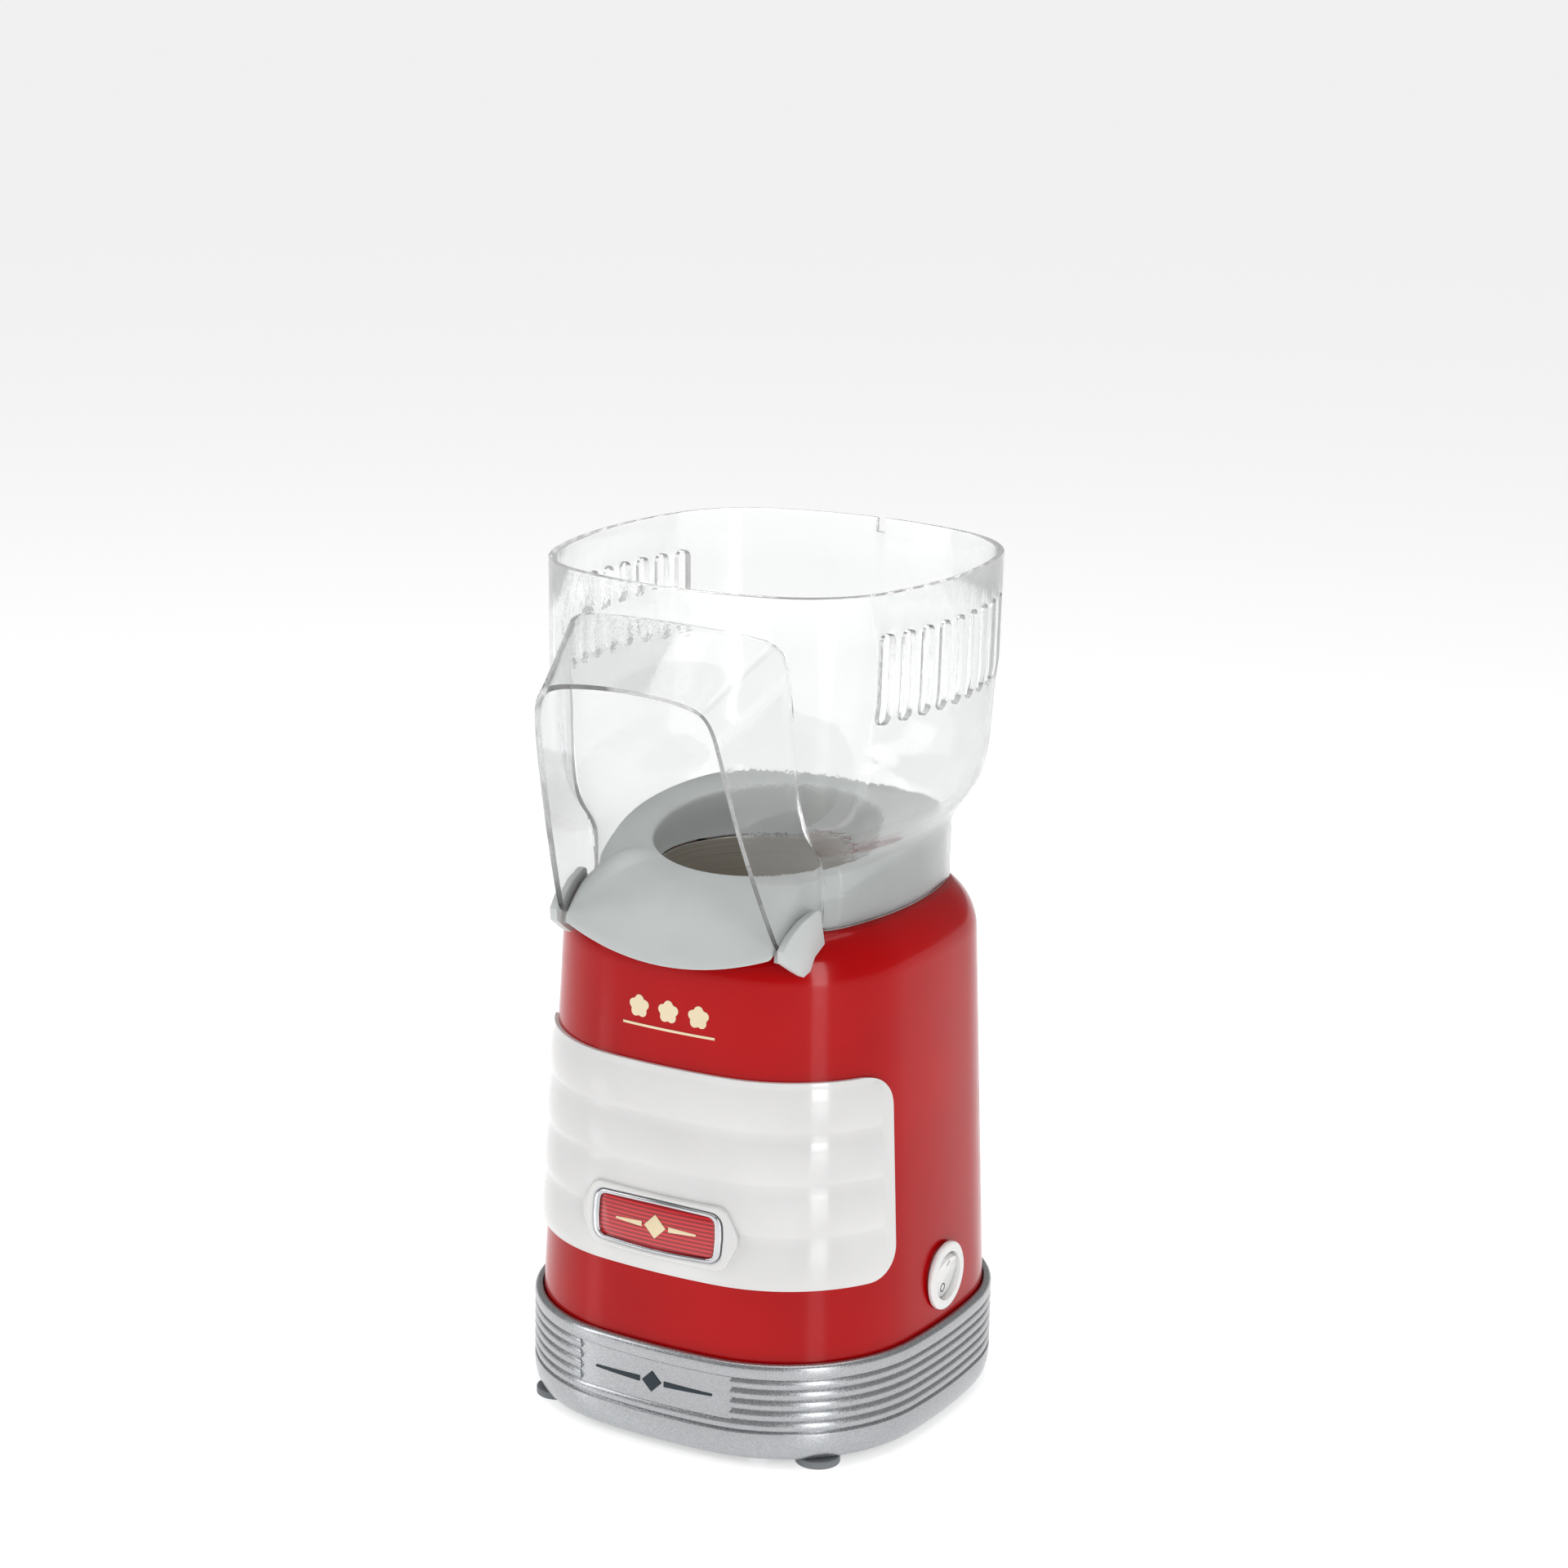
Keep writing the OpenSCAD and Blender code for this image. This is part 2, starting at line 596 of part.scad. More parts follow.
tray_o = grow(hood_o, -tray_inset);
lip_y = -69;
tray_edge_pts = concat(
    [for (p = outline(tray_o, 8)) if (p[1] > -39.5 && !(p[1] < -30 && abs(p[0]) < 40.5)) p]);
function front_lip(x) = lip_y + 3.6 * pow(x / 40, 2);
lip_pts = [for (x = [-38.3, -35, -30, -20, -10, 0, 10, 20, 30, 35, 38.3]) [x, front_lip(x)]];
// A start on the right at the back end of the front opening, then anticlockwise round the body.
right_pts = [for (p = tray_edge_pts) if (p[0] > 0 && p[1] < -0.1) p];
upper_pts = [for (p = tray_edge_pts) if (p[1] > -0.1) p];
left_pts = [for (p = tray_edge_pts) if (p[0] < 0 && p[1] < -0.1) p];
inner_gap = hood_wall + hood_fit;
cheek_in = [for (y = [-40.2, -45, -50, -55, -60, -63.5]) [chute_x(y) - inner_gap - 0.1, y]];
tray_rim = concat(
    right_pts, upper_pts, left_pts,
    [for (p = cheek_in) [-p[0], p[1]]],
    lip_pts,
    reversed(cheek_in));

// Height of the tray's edge, from the back round to the front lip.
function edge_z(p) = lookup(p[1], [[-70, lip_height], [-69, lip_height], [-65.4, 173],
    [-63.5, 174.6], [-60, 177.6], [-55.5, 180.6], [-48, 182.6], [-42, 182.4], [-30, 186.6],
    [-10, 193], [20, 196.5], [60, 197.5]]);
hole_c = [0, core_y];
function hole_pt(p, r, sink) = let (d = p - hole_c, u = d / norm(d))
    [hole_c[0] + u[0] * r, hole_c[1] + u[1] * r, hole_height - sink + u[1] * r * tan(hole_tilt)];
function tray_row(p) = let (
    a = hole_pt(p, hole_radius + 1.2, 0),
    b = [p[0], p[1], edge_z(p)],
    up = p[1] < -46 ? 4.2 : 1.2,
    low = p[1] < -46 ? edge_z(p) - tray_wall : deck_z + 0.35)
    [hole_pt(p, hole_radius, 1.1), a,
     mix(a, b, 0.25) + [0, 0, up * 0.75], mix(a, b, 0.5) + [0, 0, up], mix(a, b, 0.75) + [0, 0, up * 0.75],
     b, [b[0], b[1], low],
     tray_in(p, low), tray_in(p, edge_z(p) - tray_wall - 0.01),
     mix(a, b, 0.7) + [0, 0, up * 0.75 - tray_wall * 1.1], mix(a, b, 0.4) + [0, 0, up - tray_wall * 1.2],
     hole_pt(p, hole_radius + 1, tray_wall * 1.3),
     [hole_c[0] + (p - hole_c)[0] / norm(p - hole_c) * (chamber_radius + 0.6 + tray_wall * 0.7),
      hole_c[1] + (p - hole_c)[1] / norm(p - hole_c) * (chamber_radius + 0.6 + tray_wall * 0.7), 181.2],
     [hole_c[0] + (p - hole_c)[0] / norm(p - hole_c) * chamber_radius,
      hole_c[1] + (p - hole_c)[1] / norm(p - hole_c) * chamber_radius, 181.2]];
function tray_in(p, z) = let (d = p - hole_c, k = 1 - tray_wall * 1.15 / norm(d))
    [hole_c[0] + d[0] * k, hole_c[1] + d[1] * k, z];

// The cheeks hang outside the hood's chute at the two front corners.
function cheek_shape(d) = [[-66.5 - d, 170.6 - d], [-67 - d, 174.6 + d], [-63.6, 178.2 + d], [-57.4, 181.8 + d],
    [-49.5, 184.1 + d], [-47.8 + d, 183 + d], [-45.3 + d, 172.3 - d], [-50.3 + d, 169.2 - d],
    [-52.7 + d, 165 - d], [-56, 163.9 - d], [-59.9 - d, 166.2 - d]];

module cheek_place() {
    translate([chute_x(0) + 0.35, 0, 0]) rotate(-atan(cheek_slope)) children();
}

module chute_tray() {
    color("#B5BABA") place() union() {
        ring_mesh([for (p = tray_rim) tray_row(p)]);
        for (s = [0, 1]) {
            mirror([s, 0, 0]) {
                cheek_place() rotate([90, 0, 90]) linear_extrude(2.4) polygon(cheek_shape(0));
                cheek_place() translate([-5.2, -61.5, 168.4]) cube([5.7, 4.5, 4]);
                cheek_place() translate([-5.2, -61.5, 168.4]) cube([2.3, 4, 8]);
            }
        }
    }
}

module chamber_screw_at() {
    for (i = [0:2]) {
        rotate(i * 120 + 30) translate([chamber_radius + 7.4, 0, 0]) children();
    }
}

// ---- switch, on the right side ----

module at_switch() {
    translate([side_x, 0, switch_z]) rotate([0, 90, 0]) rotate(90) children();
}

pin_r = 1;
pin_play = 0.05;
pin_in = 1.6;

// In the switch's own frame Z points out of the housing, X is across and Y is up.
module switch_bezel() {
    color("#F4F3F1") place() at_switch() difference() {
        union() {
            translate([0, 0, 0.65]) cylinder(h = 0.95, r = switch_flange, $fn = 96);
            translate([0, 0, 1.6]) rotate_extrude($fn = 96)
                polygon([[0, 0], [switch_flange, 0], [switch_flange - 0.3, 0.3],
                         [switch_flange - 0.9, 0.5], [0, 0.5]]);
            translate([0, 0, -9]) cylinder(h = 9.8, r = switch_barrel, $fn = 96);
        }
        translate([0, 0, -12]) cylinder(h = 20, r = rocker_tall + 0.6, $fn = 96);
        translate([-rocker_half - 1.8, 0, -pin_in]) rotate([0, 90, 0])
            cylinder(h = 2 * rocker_half + 3.6, r = pin_r, $fn = 48);
    }
}

module rocker() {
    r = rocker_tall + 0.5;
    t = rocker_throw / 2;
    a = 22;
    color("#F7F7F5") place() at_switch() difference() {
        // The key's rim is part of a ball about the pin, so it clears the round window as it tilts.
        intersection() {
            translate([-rocker_half, 0, -pin_in]) rotate([90, 0, 90]) linear_extrude(2 * rocker_half)
                polygon(concat(
                    [[r * cos(a + t), r * sin(a + t)], [2.6, 2.65], [0.3, 2.3], [-2.4, 1.75]],
                    [[-r * cos(a - t), r * sin(a - t)], [-7.35, -1.4], [-3.2, -2.4], [-1.9, -5.2], [0.6, -5.4],
                     [2.4, -2.6], [7.2, 0.3]]));
            translate([0, 0, -pin_in]) sphere(r = rocker_tall + 0.2, $fn = 96);
        }
        translate([-12, 0, -pin_in]) rotate([0, 90, 0]) cylinder(h = 24, r = pin_r + pin_play, $fn = 48);
    }
}

module rocker_pin() {
    color("#B9BBBE") place() at_switch() translate([-rocker_half - 1.8, 0, -pin_in]) rotate([0, 90, 0])
        cylinder(h = 2 * rocker_half + 3.6, r = pin_r, $fn = 48);
}

switch_back = -21;

module switch_body() {
    color("#1E1F21") place() at_switch() difference() {
        translate([-7.4, -7.4, switch_back]) cube([14.8, 14.8, -9.02 - switch_back]);
        translate([-5.6, -6.4, switch_back + 2]) cube([11.2, 12.8, 20]);
        for (y = [-4.4, 4.4]) {
            translate([-2.42, y - 0.42, switch_back - 1]) cube([4.84, 0.84, 5]);
        }
    }
}

module switch_terminals() {
    color("#C9A24A") place() at_switch() for (y = [-4.4, 4.4]) {
        translate([-2.4, y - 0.4, switch_back - 8]) cube([4.8, 0.8, 11.5]);
    }
}

// ---- popping chamber and heater ----

chamber_top = deck_z + 5.6;
seal_low = deck_z + 0.01;
flange_low = deck_z + 1;

module popping_chamber() {
    r = chamber_radius;
    s = chamber_sheet;
    color("#A8A49E") place() core() difference() {
        rotate_extrude($fn = 128) polygon(concat(
            [[0, chamber_floor], [r - 6, chamber_floor]],
            arc_pts([r - 6, chamber_floor + 6 + s], 6 + s, -90, 0, 6),
            [[r + s, flange_low], [r + 9, flange_low], [r + 9, flange_low + s], [r + s, flange_low + s],
             [r + s, chamber_top], [r, chamber_top]],
            reversed(arc_pts([r - 6, chamber_floor + 6 + s], 6, -90, 0, 6)),
            [[9, chamber_floor + s], [0, chamber_floor + s + 4]]));
        for (i = [0:vent_count - 1]) {
            rotate(i * 360 / vent_count) translate([r - 4, -0.7, chamber_floor + 7.4]) rotate([28, 0, 0])
                cube([10, 1.4, 9]);
        }
        chamber_screw_at() translate([0, 0, flange_low - 1]) cylinder(h = 4, r = 1.65, $fn = 32);
    }
}

module chamber_seal() {
    color("#D9D6CF") place() core() difference() {
        translate([0, 0, seal_low]) cylinder(h = 0.97, r = chamber_radius + 9, $fn = 128);
        translate([0, 0, seal_low - 1]) cylinder(h = 3, r = chamber_radius + chamber_sheet + 0.6, $fn = 128);
        chamber_screw_at() translate([0, 0, seal_low - 1]) cylinder(h = 4, r = 1.65, $fn = 32);
    }
}

housing_top_fan = 72;
duct_low = housing_top_fan + 0.05;
shroud_radius = chamber_radius + 4.5;
shroud_top = chamber_floor + 20;

module heat_duct() {
    r = duct_radius;
    s = duct_sheet;
    color("#B4B7BA") place() core() difference() {
        rotate_extrude($fn = 128) polygon([
            [r, duct_low + 2], [r, chamber_floor - 8], [shroud_radius, chamber_floor - 2],
            [shroud_radius, shroud_top], [chamber_radius + chamber_sheet + 0.05, shroud_top],
            [chamber_radius + chamber_sheet + 0.05, shroud_top + s], [shroud_radius + s, shroud_top + s],
            [shroud_radius + s, chamber_floor - 2.3], [r + s, chamber_floor - 8.3], [r + s, duct_low + 2],
            [r + 4, duct_low + 2 - s], [r + 4, duct_low + 0.6], [r, duct_low + 0.6]]);
        for (x = [-3, 3]) {
            translate([x, -r - 6, 84]) rotate([-90, 0, 0]) cylinder(h = 8, r = 1.5, $fn = 32);
        }
    }
}

mica_low = duct_low + 3;
mica_high = chamber_floor - 9.5;

module mica_tube() {
    color("#C9BFA6") place() core() difference() {
        translate([0, 0, mica_low]) cylinder(h = mica_high - mica_low, r = duct_radius - 0.1, $fn = 128);
        translate([0, 0, mica_low - 1]) cylinder(h = 60, r = duct_radius - 0.7, $fn = 128);
        for (x = [-3, 3]) {
            translate([x, -duct_radius - 6, 84]) rotate([-90, 0, 0]) cylinder(h = 8, r = 1.5, $fn = 32);
        }
    }
}

coil_radius = 22;
coil_low = mica_low + 4;
coil_pitch = (mica_high - mica_low - 8) / (heater_turns - 1);

module coil_ring(r) {
    for (i = [0:heater_turns - 1]) {
        translate([0, 0, coil_low + i * coil_pitch]) rotate_extrude($fn = 96)
            translate([coil_radius, 0]) circle(r = r, $fn = 32);
    }
}

module mica_cross() {
    color("#CFC5AC") place() core() difference() {
        union() {
            for (a = [45, 135]) {
                rotate(a) translate([-duct_radius + 0.8, -0.5, mica_low])
                    cube([2 * duct_radius - 1.6, 1, mica_high - mica_low]);
            }
        }
        coil_ring(wire_radius + 0.25);
    }
}

module heater_coil() {
    color("#7C6A58") place() core() {
        coil_ring(wire_radius);
        for (s = [-1, 1]) {
            h = s < 0 ? coil_low : coil_low + (heater_turns - 1) * coil_pitch;
            pipe([[s * 3, -coil_radius, h], [s * 3, -coil_radius - 3, 84], [s * 3, -duct_radius + 1.65, 84]],
                 wire_radius * 0.9);
        }
    }
}

module heater_terminals() {
    color("#C9A24A") place() core() for (s = [-1, 1]) {
        translate([s * 3, -duct_radius + 1.6, 84]) rotate([90, 0, 0]) cylinder(h = 6, r = 1.1, $fn = 32);
        translate([s * 3 - 1.1, -duct_radius - 9, 83.6]) cube([2.2, 5, 0.8]);
    }
}

module thermostat() {
    color("#3A3B3D") place() core() rotate(200) translate([duct_radius + duct_sheet + 0.02, 0, 86])
        rotate([0, 90, 0]) {
            cylinder(h = 2, r = 7.4, $fn = 64);
            cylinder(h = 7, r = 6, $fn = 64);
            for (y = [-3.5, 3.5]) {
                translate([-0.4, y - 1.5, 6.9]) cube([0.8, 3, 5]);
            }
        }
}

module thermal_fuse() {
    color("#D8D8D4") place() core() rotate(150) translate([duct_radius + duct_sheet + 2.1, 0, 79]) {
        cylinder(h = 10, r = 2, $fn = 48);
        translate([0, 0, -5]) cylinder(h = 20, r = 0.5, $fn = 32);
    }
}

// ---- fan and motor ----

fan_floor = 50;
fan_low = 55;
motor_top = motor_low + motor_length;

module motor_screw_at() {
    for (s = [-1, 1]) {
        rotate(s * 90 + 45) translate([8, 0, 0]) children();
    }
}

module fan_housing() {
    r = duct_radius;
    color("#3C3E41") place() core() difference() {
        union() {
            rotate_extrude($fn = 128) polygon([
                [22, fan_floor], [r + 2, fan_floor], [r + 2, housing_top_fan - 2], [r + 6, housing_top_fan - 2],
                [r + 6, housing_top_fan], [r, housing_top_fan], [r, fan_floor + 2], [22, fan_floor + 2]]);
            translate([0, 0, fan_floor - 1]) cylinder(h = 3, r = 12.5, $fn = 96);
            for (i = [0:2]) {
                rotate(i * 120 + 75) translate([11, -2.5, fan_floor]) cube([13, 5, 2]);
            }
            for (i = [0:3]) {
                rotate(i * 90 + 45) translate([r + 5, 0, ring_bottom + plate_thick + 0.02]) difference() {
                    cylinder(h = housing_top_fan - ring_bottom - plate_thick - 1, r = 3.2, $fn = 48);
                    translate([0, 0, -1]) cylinder(h = 20, r = 1.4, $fn = 32);
                }
            }
        }
        translate([0, 0, fan_floor - 5]) cylinder(h = 10, r = 3.6, $fn = 64);
        motor_screw_at() translate([0, 0, fan_floor - 5]) cylinder(h = 10, r = 1.35, $fn = 32);
    }
}

module fan() {
    color("#E3E1DA") place() core() difference() {
        union() {
            translate([0, 0, fan_low]) cylinder(h = 12, r = 5, $fn = 64);
            translate([0, 0, fan_low]) cylinder(h = 1.4, r = fan_radius, $fn = 128);
            for (i = [0:fan_blades - 1]) {
                rotate(i * 360 / fan_blades) translate([4, -0.7, fan_low + 1]) rotate([0, 0, -18])
                    cube([fan_radius - 6, 1.4, 10]);
            }
        }
        translate([0, 0, fan_low - 1]) cylinder(h = 20, r = shaft_radius, $fn = 48);
    }
}

module motor_can() {
    color("#9A9DA1") place() core() difference() {
        translate([0, 0, motor_low]) cylinder(h = motor_length, r = motor_radius, $fn = 96);
        translate([0, 0, motor_low - 1]) cylinder(h = motor_length - 0.2, r = motor_radius - 1, $fn = 96);
        translate([0, 0, motor_low]) cylinder(h = motor_length + 1, r = 3.02, $fn = 64);
        motor_screw_at() translate([0, 0, motor_top - 3]) cylinder(h = 10, r = 1.05, $fn = 32);
    }
}

module motor_end_cap() {
    color("#1E1F21") place() core() difference() {
        union() {
            translate([0, 0, motor_low - 2.4]) cylinder(h = 2.38, r = motor_radius, $fn = 96);
            translate([0, 0, motor_low - 0.1]) cylinder(h = 2.1, r = motor_radius - 1.05, $fn = 96);
        }
        translate([0, 0, motor_low]) cylinder(h = 5, r = motor_radius - 2.6, $fn = 96);
        translate([0, 0, motor_low - 5]) cylinder(h = 10, r = 3.02, $fn = 64);
        for (s = [-1, 1]) {
            translate([s * 8, 0, motor_low - 5]) cylinder(h = 10, r = 1.35, $fn = 32);
        }
    }
}

module motor_bushings() {
    color("#B5884A") place() core() for (z = [motor_low - 2.4, motor_top - 1.2]) {
        translate([0, 0, z]) difference() {
            cylinder(h = 2.4, r = 3, $fn = 64);
            translate([0, 0, -1]) cylinder(h = 6, r = shaft_radius + shaft_play, $fn = 48);
        }
    }
}

module motor_magnets() {
    color("#4A4B4D") place() core() for (s = [0, 180]) {
        rotate(s - 60) translate([0, 0, motor_low + 10]) rotate_extrude(angle = 120)
            translate([motor_radius - 4.2, 0]) square([3.15, motor_length - 14]);
    }
}

comm_z = motor_low + 2.5;

module motor_brushes() {
    color("#4F4A45") place() core() for (s = [0, 180]) {
        rotate(s) translate([3.05, -1, comm_z + 1]) cube([3.6, 2, 2.6]);
        rotate(s) translate([6.7, -0.6, comm_z + 1.3]) cube([1.9, 1.2, 2]);
        rotate(s) translate([8, 0, motor_low - 6]) cylinder(h = 11, r = 0.8, $fn = 32);
    }
}

module motor_shaft() {
    color("#C4C6C9") place() core() translate([0, 0, motor_low - 3])
        cylinder(h = fan_low + 13 - motor_low + 3, r = shaft_radius, $fn = 48);
}

stack_low = motor_low + 12;
stack_length = motor_length - 18;
stack_r = motor_radius - 4.8;

module motor_armature() {
    color("#8B8478") place() core() difference() {
        union() {
            translate([0, 0, stack_low]) cylinder(h = stack_length, r = 3.4, $fn = 64);
            for (i = [0:pole_count - 1]) {
                rotate(i * 360 / pole_count) translate([2.5, -1.3, stack_low])
                    cube([stack_r - 4.2, 2.6, stack_length]);
                rotate(i * 360 / pole_count - 48) translate([0, 0, stack_low])
                    rotate_extrude(angle = 96) translate([stack_r - 2, 0]) square([2, stack_length]);
            }
        }
        translate([0, 0, stack_low - 1]) cylinder(h = 60, r = shaft_radius, $fn = 48);
    }
}

module motor_windings() {
    color("#B4632F") place() core() for (i = [0:pole_count - 1]) {
        rotate(i * 360 / pole_count) difference() {
            translate([3.7, -2.6, stack_low - 1.3]) cube([3, 5.2, stack_length + 2.6]);
            translate([3, -1.32, stack_low - 0.02]) cube([5, 2.64, stack_length + 0.04]);
        }
    }
}

module motor_commutator() {
    color("#C87F3F") place() core() difference() {
        translate([0, 0, comm_z]) cylinder(h = 5, r = 2.95, $fn = 64);
        translate([0, 0, comm_z - 1]) cylinder(h = 10, r = shaft_radius, $fn = 48);
        for (i = [0:2]) {
            rotate(i * 120 + 30) translate([2, -0.2, comm_z - 1]) cube([3, 0.4, 8]);
        }
    }
}

// ---- wiring ----

board = [-44, 30, 30];

module rectifier_board() {
    color("#2E6B45") place() difference() {
        translate(board - [10, 8, 0]) cube([20, 16, 1.6]);
        for (x = [-7.5, 7.5]) {
            translate(board + [x, 0, -1]) cylinder(h = 4, r = 1.5, $fn = 32);
        }
    }
    color("#3C3E41") place() for (x = [-7.5, 7.5]) {
        translate([board[0] + x, board[1], ring_bottom + plate_thick + 0.02]) {
            cylinder(h = board[2] - ring_bottom - plate_thick - 0.03, r = 2.4, $fn = 48);
            cylinder(h = board[2] - ring_bottom - plate_thick + 1.4, r = 1.45, $fn = 32);
        }
    }
}

module rectifier_diodes() {
    color("#1E1F21") place() for (i = [0:3]) {
        translate(board + [-3.9 + i * 2.6, -2.5, 2.9]) rotate([-90, 0, 0]) {
            cylinder(h = 5, r = 1.1, $fn = 32);
            translate([0, 0, -1.5]) cylinder(h = 8, r = 0.35, $fn = 24);
        }
        for (y = [-3.7, 3.7]) {
            translate(board + [-3.9 + i * 2.6, y, 1.62]) cylinder(h = 1.3, r = 0.35, $fn = 24);
        }
    }
}

sw_end = [side_x + switch_back - 9.7, 0, switch_z];

// From the gland to the switch, and from the switch to the thermostat and the heater.
module lead_switch() {
    color("#2B4C8C") place() pipe([[8, seat_y - 8, gland_z], [36, 46, gland_z], [40, 24, switch_z + 4.4],
        sw_end + [0, 0, 4.4]], lead_radius);
}

module lead_heater() {
    color("#7A3B22") place() {
        pipe([sw_end - [0, 0, 4.4], [41, -16, 48], [41, -30, 70], [16, -46, 80],
              [3, core_y - duct_radius - 10.2, 84]], lead_radius);
        pipe([[-8, seat_y - 8, gland_z], [-36, 46, 60], [-48, 20, 78], [-50, -18, 84], [-20, -46, 84],
              [-3, core_y - duct_radius - 10.2, 84]], lead_radius);
    }
}

module lead_motor() {
    z = motor_low - 7.2;
    color("#C23A2E") place() {
        pipe([board + [-2, -9.2, 3], [board[0] - 2, 14, 20], [-20, core_y + 1, z], [-8, core_y, z]],
             lead_radius);
        pipe([board + [2, -9.2, 3], [board[0] + 6, 10, 26], [-24, -20, z], [4, -14, z], [8, core_y, z]],
             lead_radius);
    }
}

module cord_gland() {
    color("#1E1F21") place() translate([0, seat_y, gland_z]) rotate([-90, 0, 0]) difference() {
        union() {
            translate([0, 0, -7]) cylinder(h = 9, r = cord_radius + 3, $fn = 64);
            translate([0, 0, 0.5]) cylinder(h = 1.5, r = cord_radius + 5, $fn = 64);
            translate([0, 0, -7]) cylinder(h = 3.6, r = cord_radius + 5, $fn = 64);
        }
        translate([0, 0, -10]) cylinder(h = 20, r = cord_radius, $fn = 64);
    }
}

// ---- screws ----

module pan_screw(r, head, long) {
    difference() {
        union() {
            cylinder(h = long, r = r, $fn = 32);
            translate([0, 0, -1.4]) cylinder(h = 1.42, r = head, $fn = 48);
        }
        for (a = [0, 90]) {
            rotate(a) translate([-head * 0.55, -0.3, -1.6]) cube([head * 1.1, 0.6, 1]);
        }
    }
}

module base_screws() {
    color("#8E9194") place() corners(boss_at) translate([0, 0, ring_bottom - 0.02])
        pan_screw(1.65, 3.2, 18);
}

module chamber_screws() {
    color("#8E9194") place() core() chamber_screw_at()
        translate([0, 0, flange_low + chamber_sheet + 0.02]) mirror([0, 0, 1]) pan_screw(1.25, 2.6, 7);
}

module motor_screws() {
    color("#8E9194") place() core() motor_screw_at()
        translate([0, 0, fan_floor + 2.02]) mirror([0, 0, 1]) pan_screw(1, 1.9, 5.2);
}

housing();
front_panel();
badge_bezel();
badge_frame();
badge_plate();
badge_emblem();
front_ornament();
base_ring();
base_emblem();
base_plate();
feet();
hood();
chute_tray();
switch_bezel();
rocker();
rocker_pin();
switch_body();
switch_terminals();
popping_chamber();
chamber_seal();
heat_duct();
mica_tube();
mica_cross();
heater_coil();
heater_terminals();
thermostat();
thermal_fuse();
fan_housing();
fan();
motor_can();
motor_end_cap();
motor_bushings();
motor_magnets();
motor_brushes();
motor_shaft();
motor_armature();
motor_windings();
motor_commutator();
rectifier_board();
rectifier_diodes();
lead_switch();
lead_heater();
lead_motor();
cord_gland();
base_screws();
chamber_screws();
motor_screws();
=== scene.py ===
import json
import math

import bpy
from bpy.props import FloatProperty, FloatVectorProperty, IntProperty, PointerProperty
from mathutils import Matrix, Vector


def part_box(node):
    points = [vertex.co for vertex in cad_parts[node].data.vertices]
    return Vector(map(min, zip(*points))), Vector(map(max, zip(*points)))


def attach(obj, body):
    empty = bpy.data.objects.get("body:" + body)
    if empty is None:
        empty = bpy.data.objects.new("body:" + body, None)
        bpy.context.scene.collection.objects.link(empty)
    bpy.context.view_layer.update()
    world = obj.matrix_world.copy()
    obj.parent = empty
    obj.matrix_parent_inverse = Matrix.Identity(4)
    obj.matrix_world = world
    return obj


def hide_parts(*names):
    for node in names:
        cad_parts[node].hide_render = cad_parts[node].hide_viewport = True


bl_info = {
    "name": "Popcorn maker",
    "version": (1, 0, 0),
    "blender": (4, 5, 0),
    "location": "View3D > Sidebar > Popcorn",
    "description": "Builds a hot-air popcorn maker with a clear hood and a grey chute tray",
    "category": "Object",
}

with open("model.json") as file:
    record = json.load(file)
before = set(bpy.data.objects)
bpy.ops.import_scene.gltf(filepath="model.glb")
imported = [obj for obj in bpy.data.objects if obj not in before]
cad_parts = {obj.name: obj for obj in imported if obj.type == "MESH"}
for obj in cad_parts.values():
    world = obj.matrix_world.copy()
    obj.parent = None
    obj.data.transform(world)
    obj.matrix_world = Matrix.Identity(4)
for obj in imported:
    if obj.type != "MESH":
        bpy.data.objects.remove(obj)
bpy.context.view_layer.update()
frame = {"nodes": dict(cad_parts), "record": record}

MM = 0.001


def middle(name, axis):
    low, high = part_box(name)
    return (low[axis] + high[axis]) / 2


AXIS_Y = middle("housing", 1)
CORE_Y = middle("fan_housing", 1)
HOUSING_LOW, HOUSING_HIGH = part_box("housing")
HOOD_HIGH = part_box("hood")[1]
RING_LOW, RING_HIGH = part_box("base_ring")


# ---- numbers shared by several pieces, in metres ----

DRAFT = 0.0475
FOOT_Z = 0.0325
SHOULDER_Z = 0.158
SHOULDER_R = 0.020
WALL = 0.0024
DECK_INSET = 0.0151
DECK_HOLE = 0.0415
BEAD_TOP = RING_HIGH[2] - 0.0052
BEAD_PITCH = 0.0036
BEADS = 5
SWELL = 0.0029
HOOD_WALL = 0.002
SLOT_LOW = 0.243
SKIRT_INSET = 0.01435
SWITCH_Z = middle("switch_bezel", 2)
SWITCH_X = HOUSING_HIGH[0] - DRAFT * (SWITCH_Z - FOOT_Z)
ROCKER_PIN_IN = 0.0016
BADGE_Z = middle("badge_bezel", 2)
PANEL_LOW, PANEL_HIGH = (corner[2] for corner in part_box("front_panel"))
# Trim is drawn flat on this plane in front of the housing, and laid on from there.
FRONT_Y = AXIS_Y - 0.09


